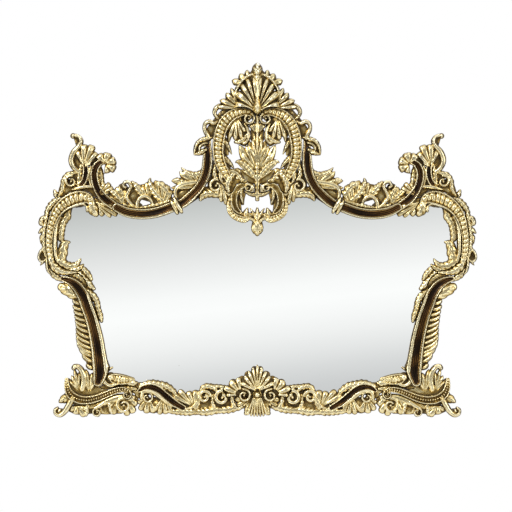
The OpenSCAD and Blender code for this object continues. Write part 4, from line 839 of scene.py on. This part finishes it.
def front_faces(on_grid, on_rim):
    """The front's faces, one sort of cell after another, and the edges from which walls go down."""
    corner = corners_of_cells(on_grid)
    flat, upright = on_rim
    crossing = (flat[:-1, :], upright[:, 1:], flat[1:, :], upright[:, :-1])
    code = sum((c >= 0).astype(int) << k for k, c in enumerate(corner))
    faces, walls = [], []
    for pattern in range(1, 16):
        here = code == pattern
        if not here.any():
            continue
        # Round the cell: its solid corners, and the rim points on the sides where solid meets empty
        ring = []
        for k in range(4):
            now, then = pattern >> k & 1, pattern >> (k + 1) % 4 & 1
            if now:
                ring.append(("corner", corner[k][here]))
            if now != then:
                ring.append(("rim", crossing[k][here]))
        faces.append(np.stack([numbers for _, numbers in ring], axis=1))
        for one, two in zip(ring, ring[1:] + ring[:1]):
            if one[0] == two[0] == "rim":
                walls.append(np.stack([one[1], two[1]], axis=1))
    return faces, np.concatenate(walls)


def casting_mesh(name, X, Z, inside, tones, height):
    """A closed mesh: the carved front, walls down to the flat back, and the back itself."""
    inside = np.where(np.abs(inside) < 1e-3, 1e-3, inside)
    front, tone, on_grid, on_rim = front_points(X, Z, inside, tones, height)
    faces, walls = front_faces(on_grid, on_rim)
    count = len(front)
    below = [face[:, ::-1] + count for face in faces]
    faces += [np.stack([walls[:, 1], walls[:, 0], walls[:, 0] + count, walls[:, 1] + count], axis=1)] + below
    back = front * [1, 0, 1]
    places = np.concatenate([front, back])
    points = np.stack([places[:, 0], -CASTING_BACK - places[:, 1], places[:, 2]], axis=1) * MM
    corners = np.concatenate([face.ravel() for face in faces])
    sizes = np.concatenate([np.full(len(face), face.shape[1]) for face in faces])
    smooth = np.ones(len(sizes), bool)
    smooth[-sum(len(face) for face in below):] = False
    mesh = bpy.data.meshes.new(name)
    mesh.vertices.add(len(points))
    mesh.vertices.foreach_set("co", points.ravel())
    mesh.loops.add(len(corners))
    mesh.loops.foreach_set("vertex_index", corners.astype(np.int32))
    mesh.polygons.add(len(sizes))
    mesh.polygons.foreach_set("loop_start", np.concatenate([[0], np.cumsum(sizes)[:-1]]).astype(np.int32))
    mesh.polygons.foreach_set("use_smooth", smooth)
    mesh.update(calc_edges=True)
    tone = np.concatenate([tone, np.tile(PLAIN_BACK, (count, 1))])
    colour = np.concatenate([tone, np.ones((len(tone), 1))], axis=1).astype(np.float32)
    mesh.attributes.new("tone", "FLOAT_COLOR", "POINT").data.foreach_set("color", colour.ravel())
    mesh.validate()
    return mesh


def flipped(mesh, name):
    """The same mesh on the other side of the centre line."""
    twin = mesh.copy()
    twin.name = name
    twin.transform(Matrix.Scale(-1, 4, (1, 0, 0)))
    twin.flip_normals()
    return twin


# Finishes

def linear(text):
    """An sRGB hex colour as linear light."""
    parts = [int(text[k:k + 2], 16) / 255 for k in (1, 3, 5)]
    return tuple(p / 12.92 if p <= 0.04045 else ((p + 0.055) / 1.055) ** 2.4 for p in parts) + (1.0,)


def per_metre(pitch_mm):
    """The scale of a pattern that repeats about every so many millimetres."""
    return 1000 / pitch_mm


def node(tree, kind, links=None, values=None, stops=(), **settings):
    """Adds one shader node: its settings, the numbers on its sockets, the sockets or nodes (by their first
    output) that feed the others, and a ramp's colours at their places from 0 to 1."""
    made = tree.nodes.new("ShaderNode" + kind)
    for key, value in settings.items():
        setattr(made, key, value)
    for key, value in (values or {}).items():
        made.inputs[key].default_value = value
    for key, source in (links or {}).items():
        tree.links.new(source.outputs[0] if isinstance(source, bpy.types.Node) else source, made.inputs[key])
    if stops:
        ramp = made.color_ramp.elements
        ramp[1].position = stops[-1][0]
        ramp[0].position = stops[0][0]
        for place, _ in stops[1:-1]:
            ramp.new(place)
        for stop, (_, shade) in zip(ramp, stops):
            stop.color = linear(shade)
    return made


def finish_of(name, build, **shine):
    """A material: build(tree) lays its nodes and says what feeds the shader; shine holds plain numbers."""
    made = bpy.data.materials.new(name)
    made.use_nodes = True
    tree = made.node_tree
    tree.nodes.clear()
    shader = node(tree, "BsdfPrincipled", build(tree), shine)
    node(tree, "OutputMaterial", {"Surface": shader})
    return made


def sand_cast_gilt_brass(tree):
    """Sand-cast brass, chased, gilt and rubbed back: pale gold on the ridges, olive gold on the slopes and
    dark umber wax in the hollows, stained in clouds some 14 mm across. The highest ridges are worn, and
    painted near white there as a highlight. The coves are lacquered nearly black-brown, with amber streaks
    that are partly thin lacquer and partly painted glints. Its cast grain is under 0.3 mm in a real casting,
    and drawn at 0.9 mm so that it shows."""
    place = node(tree, "TexCoord").outputs["Object"]
    tone = node(tree, "Attribute", attribute_name="tone")
    # Tone: wax depth, wear with a painted highlight on the high points, and lacquer
    depth, wear_and_highlight, lacquer = node(tree, "SeparateColor", {"Color": tone}).outputs[:3]
    cloud = node(tree, "TexNoise", {"Vector": place},
                 {"Scale": per_metre(14), "Detail": 3.0, "Roughness": 0.55})
    grain = node(tree, "TexNoise", {"Vector": place},
                 {"Scale": per_metre(0.9), "Detail": 2.0, "Roughness": 0.55})

    # The wax: the deeper a point lies among its neighbours, the more of it is left there
    blotch = node(tree, "MapRange", {"Value": cloud},
                  {"From Min": 0.3, "From Max": 0.7, "To Min": -0.16, "To Max": 0.16})
    sunk = node(tree, "Math", {0: depth, 1: blotch}, operation="ADD", use_clamp=True)
    gold = node(tree, "ValToRGB", {"Fac": sunk}, stops=[
        (0.0, "#f0e0ac"), (0.18, "#c6ac6c"), (0.38, "#7a5f2e"), (0.62, "#3d2b13"), (1.0, "#1c1208")])
    # Worn high points, painted near-white cream as a highlight as well
    rubbed_and_highlit = node(tree, "Mix", {0: wear_and_highlight, 6: gold}, {7: linear("#fbf2cf")}, data_type="RGBA").outputs[2]
    stain = node(tree, "MapRange", {"Value": cloud}, {"From Min": 0.35, "From Max": 0.65, "To Max": 0.35})
    stained = node(tree, "Mix", {0: stain, 6: rubbed_and_highlit}, {7: linear("#a58f58")}, data_type="RGBA").outputs[2]

    # The lacquer: amber where it is thin, which also stands in as painted glints, nearly black where it is
    # whole
    shellac = node(tree, "ValToRGB", {"Fac": lacquer}, stops=[
        (0.55, "#8c6430"), (0.74, "#38240f"), (1.0, "#170e05")])
    coat = node(tree, "MapRange", {"Value": lacquer}, {"From Max": 0.5})
    colour = node(tree, "Mix", {0: coat, 6: stained, 7: shellac}, data_type="RGBA").outputs[2]

    # Wax and lacquer hide the metal and dull it
    waxed = node(tree, "MapRange", {"Value": sunk},
                 {"From Min": 0.35, "From Max": 0.95, "To Min": 1.0, "To Max": 0.25})
    hidden = node(tree, "Math", {0: lacquer}, {1: 0.2}, operation="MULTIPLY")
    metal = node(tree, "Math", {0: waxed, 1: hidden}, operation="SUBTRACT", use_clamp=True)
    wax_dull = node(tree, "MapRange", {"Value": sunk}, {"From Max": 0.9, "To Min": 0.27, "To Max": 0.6})
    dull = node(tree, "Math", {0: lacquer, 2: wax_dull}, {1: 0.06}, operation="MULTIPLY_ADD")
    patchy = node(tree, "MapRange", {"Value": cloud},
                  {"From Min": 0.3, "From Max": 0.7, "To Min": -0.06, "To Max": 0.06})
    rough = node(tree, "Math", {0: dull, 1: patchy}, operation="ADD")
    raised = node(tree, "Bump", {"Height": grain}, {"Strength": 1.0, "Distance": 0.05 * MM})
    return {"Base Color": colour, "Metallic": metal, "Roughness": rough, "Normal": raised}


def silvered_plate_glass(tree):
    """Silvered plate glass: a clean, nearly perfect reflection with the faint green-grey of the plate, and a
    few dull spots of old silvering some 3 mm across, the peaks of clouds 9 mm apart."""
    place = node(tree, "TexCoord").outputs["Object"]
    foxing = node(tree, "TexNoise", {"Vector": place},
                  {"Scale": per_metre(9), "Detail": 4.0, "Roughness": 0.55})
    spots = node(tree, "MapRange", {"Value": foxing}, {"From Min": 0.74, "From Max": 0.8})
    colour = node(tree, "ValToRGB", {"Fac": spots}, stops=[(0.0, "#fbfdfc"), (1.0, "#d8d9d5")])
    rough = node(tree, "MapRange", {"Value": foxing},
                 {"From Min": 0.7, "From Max": 0.8, "To Min": 0.012, "To Max": 0.06})
    return {"Base Color": colour, "Roughness": rough}


def foam_packing(tree):
    """Closed-cell foam sheet between glass and board: off-white, matt, with cells of about 0.8 mm."""
    place = node(tree, "TexCoord").outputs["Object"]
    cells = node(tree, "TexVoronoi", {"Vector": place}, {"Scale": per_metre(0.8)})
    colour = node(tree, "ValToRGB", {"Fac": cells}, stops=[(0.0, "#d9d6cc"), (0.7, "#f1efe8")])
    rough = node(tree, "MapRange", {"Value": cells}, {"From Max": 0.7, "To Min": 0.9, "To Max": 0.72})
    raised = node(tree, "Bump", {"Height": cells}, {"Strength": 1.0, "Distance": 0.15 * MM})
    return {"Base Color": colour, "Roughness": rough, "Normal": raised}


def stained_birch_ply(tree):
    """Birch ply sawn to shape and stained walnut: 1.4 mm plies show as stripes on its edges, and grain lines
    about 1.1 mm wide (900 to the metre) run across the mirror."""
    place = node(tree, "TexCoord").outputs["Object"]
    depth = node(tree, "SeparateXYZ", {0: place}).outputs[1]
    layer = node(tree, "Math", {0: depth}, {1: per_metre(2.8)}, operation="MULTIPLY")
    through = node(tree, "Math", {0: layer}, operation="FRACT")
    stripe = node(tree, "Math", {0: through}, {1: 0.5}, operation="GREATER_THAN")
    long_way = node(tree, "Mapping", {"Vector": place}, {"Scale": (0.08, 1.0, 1.0)})
    grain = node(tree, "TexNoise", {"Vector": long_way}, {"Scale": 900.0, "Detail": 4.0})
    long_ply = node(tree, "ValToRGB", {"Fac": grain}, stops=[(0.3, "#3b281a"), (0.7, "#553b26")])
    end_ply = node(tree, "ValToRGB", {"Fac": grain}, stops=[(0.3, "#2a1c12"), (0.7, "#3f2b1b")])
    colour = node(tree, "Mix", {0: stripe, 6: long_ply, 7: end_ply}, data_type="RGBA").outputs[2]
    rough = node(tree, "MapRange", {"Value": grain},
                 {"From Min": 0.3, "From Max": 0.7, "To Min": 0.66, "To Max": 0.8})
    raised = node(tree, "Bump", {"Height": grain}, {"Strength": 1.0, "Distance": 0.1 * MM})
    return {"Base Color": colour, "Roughness": rough, "Normal": raised}


def sanded_plywood_board(tree):
    """Poplar plywood back board, sanded and left bare: pale face veneer with upright growth bands some 12 mm
    apart (84 to the metre) and open pores about 0.7 mm wide (1400 to the metre), and darker in patches some
    160 mm across, where hands and dust have been."""
    place = node(tree, "TexCoord").outputs["Object"]
    long_way = node(tree, "Mapping", {"Vector": place}, {"Scale": (1.0, 1.0, 0.06)})
    bands = node(tree, "TexNoise", {"Vector": long_way}, {"Scale": 84.0, "Detail": 3.0, "Distortion": 0.4})
    pores = node(tree, "TexNoise", {"Vector": long_way}, {"Scale": 1400.0, "Detail": 2.0})
    handled = node(tree, "TexNoise", {"Vector": place},
                   {"Scale": per_metre(160), "Detail": 3.0, "Roughness": 0.55})
    face = node(tree, "ValToRGB", {"Fac": bands}, stops=[(0.32, "#b08d5e"), (0.68, "#cfb184")])
    dust = node(tree, "MapRange", {"Value": handled}, {"From Min": 0.35, "From Max": 0.7, "To Max": 0.35})
    dusty = node(tree, "Mix", {0: dust, 6: face}, {7: linear("#8f7650")}, data_type="RGBA").outputs[2]
    open_pore = node(tree, "MapRange", {"Value": pores}, {"From Min": 0.6, "From Max": 0.75, "To Max": 0.45})
    colour = node(tree, "Mix", {0: open_pore, 6: dusty}, {7: linear("#7d6140")}, data_type="RGBA").outputs[2]
    rough = node(tree, "MapRange", {"Value": bands},
                 {"From Min": 0.3, "From Max": 0.7, "To Min": 0.62, "To Max": 0.74})
    raised = node(tree, "Bump", {"Height": pores}, {"Strength": 1.0, "Distance": 0.08 * MM})
    return {"Base Color": colour, "Roughness": rough, "Normal": raised}


def moulded_rubber(tree):
    """Moulded natural rubber bumper: charcoal, matt, with a faint bloom in clouds of 7 mm and an eggshell
    grain of 1.2 mm."""
    place = node(tree, "TexCoord").outputs["Object"]
    bloom = node(tree, "TexNoise", {"Vector": place},
                 {"Scale": per_metre(7), "Detail": 3.0, "Roughness": 0.55})
    grain = node(tree, "TexNoise", {"Vector": place},
                 {"Scale": per_metre(1.2), "Detail": 3.0, "Roughness": 0.55})
    colour = node(tree, "ValToRGB", {"Fac": bloom}, stops=[(0.3, "#1f1f1f"), (0.75, "#3a3937")])
    rough = node(tree, "MapRange", {"Value": grain},
                 {"From Min": 0.3, "From Max": 0.7, "To Min": 0.7, "To Max": 0.85})
    raised = node(tree, "Bump", {"Height": grain}, {"Strength": 1.0, "Distance": 0.06 * MM})
    return {"Base Color": colour, "Roughness": rough, "Normal": raised}


def zinc_plated_screw(tree):
    """Zinc-plated steel screw: bright blue-grey with dull smears about 3 mm across, and turned marks 0.4 mm
    apart."""
    place = node(tree, "TexCoord").outputs["Object"]
    smear = node(tree, "TexNoise", {"Vector": place},
                 {"Scale": per_metre(3), "Detail": 3.0, "Roughness": 0.55})
    turned = node(tree, "TexNoise", {"Vector": place},
                  {"Scale": per_metre(0.4), "Detail": 3.0, "Roughness": 0.55})
    colour = node(tree, "ValToRGB", {"Fac": smear}, stops=[(0.3, "#8f9296"), (0.7, "#c3c6c9")])
    rough = node(tree, "MapRange", {"Value": smear},
                 {"From Min": 0.3, "From Max": 0.7, "To Min": 0.24, "To Max": 0.42})
    raised = node(tree, "Bump", {"Height": turned}, {"Strength": 1.0, "Distance": 0.03 * MM})
    return {"Base Color": colour, "Roughness": rough, "Normal": raised}


def pressed_hanger_steel(tree):
    """Pressed steel strap and bent wire ring, zinc-plated: grey clouds some 8 mm across, and rolled grain
    about 0.6 mm wide (1600 to the metre) along the strap."""
    place = node(tree, "TexCoord").outputs["Object"]
    long_way = node(tree, "Mapping", {"Vector": place}, {"Scale": (1.0, 1.0, 0.05)})
    rolled = node(tree, "TexNoise", {"Vector": long_way}, {"Scale": 1600.0, "Detail": 2.0})
    cloud = node(tree, "TexNoise", {"Vector": place},
                 {"Scale": per_metre(8), "Detail": 3.0, "Roughness": 0.55})
    colour = node(tree, "ValToRGB", {"Fac": cloud}, stops=[(0.3, "#7e8083"), (0.7, "#b3b5b8")])
    rough = node(tree, "MapRange", {"Value": rolled},
                 {"From Min": 0.3, "From Max": 0.7, "To Min": 0.28, "To Max": 0.48})
    raised = node(tree, "Bump", {"Height": rolled}, {"Strength": 1.0, "Distance": 0.03 * MM})
    return {"Base Color": colour, "Roughness": rough, "Normal": raised}


def white_floor_paint(tree):
    """Matt white floor paint, rolled: barely uneven, in clouds some 30 mm across."""
    place = node(tree, "TexCoord").outputs["Object"]
    cloud = node(tree, "TexNoise", {"Vector": place},
                 {"Scale": per_metre(30), "Detail": 3.0, "Roughness": 0.55})
    return {"Base Color": node(tree, "ValToRGB", {"Fac": cloud}, stops=[(0.0, "#eeeeec"), (1.0, "#f6f6f4")])}


gilt_brass = finish_of("gilt_brass_sand_cast", sand_cast_gilt_brass)
glass = finish_of("silvered_plate_glass", silvered_plate_glass, Metallic=1.0)
foam = finish_of("foam_packing_sheet", foam_packing)
ply = finish_of("birch_ply_stained_walnut", stained_birch_ply)
board = finish_of("poplar_plywood_sanded", sanded_plywood_board)
rubber = finish_of("natural_rubber_moulded", moulded_rubber)
screw_zinc = finish_of("steel_screw_zinc_plated", zinc_plated_screw, Metallic=1.0)
hanger_zinc = finish_of("steel_strap_zinc_plated", pressed_hanger_steel, Metallic=1.0)

PLAIN_PARTS = {
    "mirror_plate": glass, "packing_sheet": foam, "ply_ring": ply, "back_board": board, "bumpers": rubber,
    "casting_screws": screw_zinc, "board_screws": screw_zinc, "strap_screws": screw_zinc,
    "hanger_strap_left": hanger_zinc, "hanger_strap_right": hanger_zinc,
    "hanger_ring_left": hanger_zinc, "hanger_ring_right": hanger_zinc,
}
for name, material in PLAIN_PARTS.items():
    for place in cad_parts[name].material_slots:
        place.material = material


# The castings, carved on one sheet so that the seams meet

# Radii in millimetres: the chaser's softening of the relief, and the levels round a point, near and wide
CHASED = 1.0
NEAR = 2.2
WIDE = 6.0

# In millimetres: the depths below those levels at which wax is thickest, the rise above the wide one at which
# brass is worn and painted bright as a highlight, and the relief that is high enough for the full painted
# highlight
NEAR_WAX = 3.2
WIDE_WAX = 6.5
HIGHLIGHT_RISE = 4.0
HIGHLIGHT_RELIEF = 9.0


def add_casting(name, mesh, node_name):
    """A carved casting on the frame, in the place of the plain one."""
    piece = bpy.data.objects.new(name, mesh)
    bpy.context.scene.collection.objects.link(piece)
    mesh.materials.append(gilt_brass)
    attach(piece, "frame")
    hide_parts(node_name)


sheets = {name: carve(strokes, relief) for name, (strokes, relief, _, _) in CASTINGS.items()}
trimmed = {}
chased = {}
whole = np.zeros((len(zs), len(xs)))
for name, (_, _, neighbours, _) in CASTINGS.items():
    edge, height, _ = sheets[name]
    trimmed[name] = np.min([edge] + [-sheets[other][0] - SEAM for other in neighbours], axis=0)
    eased = 0.6 + 0.4 * np.sin(0.5 * math.pi * np.clip(edge / EDGE_ROUND, 0, 1))
    chased[name] = softened(height, edge > 0, CHASED) * eased
    whole = np.maximum(whole, np.where(trimmed[name] > 0, chased[name], 0))
near_level = softened(whole, whole > 0, NEAR)
wide_level = softened(whole, whole > 0, WIDE)

# A point below the levels round it holds wax, and a high one above the wide level is worn and painted bright
# as a highlight
near_wax = 0.5 * np.clip((near_level - whole) / NEAR_WAX, 0, 1)
wide_wax = 0.8 * np.clip((wide_level - whole) / WIDE_WAX, 0, 1)
wax = np.clip(near_wax + wide_wax, 0, 1)
proud_highlight = np.clip((whole - wide_level) / HIGHLIGHT_RISE, 0, 1)

for name, (_, _, _, central) in CASTINGS.items():
    inside, height = trimmed[name], chased[name]
    # Tones: wax, the painted highlight on worn high points, and lacquer
    tones = np.stack([wax, proud_highlight * np.clip(height / HIGHLIGHT_RELIEF, 0, 1), sheets[name][2]], axis=2)
    rows = np.flatnonzero((inside > 0).any(axis=1))
    columns = np.flatnonzero((inside > 0).any(axis=0))
    first = int(np.argmin(np.abs(xs))) if central else columns[0] - 2
    i = slice(rows[0] - 2, rows[-1] + 3)
    j = slice(first, columns[-1] + 3)
    inside, height, tones, across = inside[i, j], height[i, j], tones[i, j], xs[j]
    if central:
        inside, height, tones = (np.concatenate([sheet[:, :0:-1], sheet], axis=1)
                                 for sheet in (inside, height, tones))
        across = np.concatenate([-across[:0:-1], across])
    X, Z = np.meshgrid(across, zs[i])
    if central:
        add_casting(name + "_carved", casting_mesh(name, X, Z, inside, tones, height), name)
    else:
        right = casting_mesh(name + "_right", X, Z, inside, tones, height)
        left = flipped(right, name + "_left")
        add_casting(name + "_carved_right", right, name + "_right")
        add_casting(name + "_carved_left", left, name + "_left")


# Studio: a white surround that the glass shows as in the photograph, soft light, a pale floor, and the camera

# The white band that the glass shows climbs a little to the right
BAND_SLOPE = 0.113

# What the glass and the brass see, from straight down (0) over level (0.5) to straight up (1)
SURROUND = [
    (0.0, "#3f3b35"), (0.40, "#77726a"), (0.452, "#b4b5b6"), (0.470, "#d2d3d4"), (0.479, "#f0f0f0"),
    (0.487, "#ffffff"), (0.4907, "#ffffff"), (0.502, "#e8e8e8"), (0.511, "#cfd1d0"), (0.53, "#86837d"),
    (0.60, "#34312c"), (0.68, "#5f5a52"), (0.80, "#fffdf6"), (1.0, "#ffffff"),
]

# Lamps: name, place in metres, height of the point they face, width, height and watts
LAMPS = [
    ("key", (-1.9, -2.3, 2.6), 0.5, 1.3, 1.3, 62),
    ("fill", (2.4, -2.2, 1.2), 0.5, 1.6, 1.6, 22),
    ("side_left", (-3.0, -1.0, 0.5), 0.4, 0.8, 2.0, 22),
    ("side_right", (3.0, -1.0, 0.5), 0.4, 0.6, 2.0, 13),
    ("back_light", (0.4, 2.6, 2.2), 0.5, 1.8, 1.8, 45),
]

# The floor lies below the feet, as the mirror hangs
FLOOR_CORNERS = [(-2, -2.2, -0.6), (2, -2.2, -0.6), (2, 1.8, -0.6), (-2, 1.8, -0.6)]

# The photograph is taken square on from about 6 m, and covers 1434 mm of the frame's front
VIEW_WIDTH = 1.4336
DISTANCE = 6.0
FRONT_PLANE = -0.045
EYE_HEIGHT = 0.455
EYE_ASIDE = -0.0036
SENSOR_MM = 36.0


def white_studio():
    """White for the camera; a soft grey light on dull surfaces; and the surround for reflections."""
    world = bpy.data.worlds.new("white_studio")
    bpy.context.scene.world = world
    world.use_nodes = True
    tree = world.node_tree
    tree.nodes.clear()
    direction = node(tree, "TexCoord").outputs["Generated"]
    right, _, up = node(tree, "SeparateXYZ", {0: direction}).outputs
    level = node(tree, "Math", {0: right, 2: up}, {1: -BAND_SLOPE}, operation="MULTIPLY_ADD")
    height = node(tree, "MapRange", {"Value": level}, {"From Min": -1.0})
    seen = node(tree, "ValToRGB", {"Fac": height}, stops=SURROUND)
    rays = node(tree, "LightPath").outputs
    shiny = node(tree, "Math", {0: rays["Is Glossy Ray"], 1: rays["Is Transmission Ray"]},
                 operation="MAXIMUM")
    lit = node(tree, "Background", values={"Color": linear("#e9eaec"), "Strength": 0.75})
    reflected = node(tree, "Background", {"Color": seen}, {"Strength": 1.0})
    white = node(tree, "Background", values={"Color": linear("#ffffff"), "Strength": 1.0})
    unseen = node(tree, "MixShader", {0: shiny, 1: lit, 2: reflected})
    all_rays = node(tree, "MixShader", {0: rays["Is Camera Ray"], 1: unseen, 2: white})
    node(tree, "OutputWorld", {"Surface": all_rays})


def soft_box(name, place, aim_height, width, height, watts):
    lamp = bpy.data.lights.new(name, "AREA")
    lamp.shape = "RECTANGLE"
    lamp.size, lamp.size_y = width, height
    lamp.energy = watts
    held = bpy.data.objects.new(name, lamp)
    held.location = place
    held.rotation_euler = (Vector((0, 0, aim_height)) - Vector(place)).to_track_quat("-Z", "Y").to_euler()
    bpy.context.scene.collection.objects.link(held)


def pale_floor():
    mesh = bpy.data.meshes.new("floor")
    mesh.from_pydata(FLOOR_CORNERS, [], [(0, 1, 2, 3)])
    mesh.materials.append(finish_of("floor_painted_white", white_floor_paint, Roughness=0.8))
    floor = bpy.data.objects.new("floor", mesh)
    bpy.context.scene.collection.objects.link(floor)


def square_on_camera():
    camera = bpy.data.cameras.new("camera")
    camera.sensor_width = SENSOR_MM
    camera.lens = SENSOR_MM * DISTANCE / VIEW_WIDTH
    camera.clip_end = 10 * DISTANCE
    eye = bpy.data.objects.new("camera", camera)
    eye.location = (EYE_ASIDE, FRONT_PLANE - DISTANCE, EYE_HEIGHT)
    eye.rotation_euler = (math.radians(90), 0, 0)
    bpy.context.scene.collection.objects.link(eye)
    bpy.context.scene.camera = eye


white_studio()
pale_floor()
for lamp in LAMPS:
    soft_box(*lamp)
square_on_camera()
bpy.context.scene.view_settings.view_transform = "Standard"
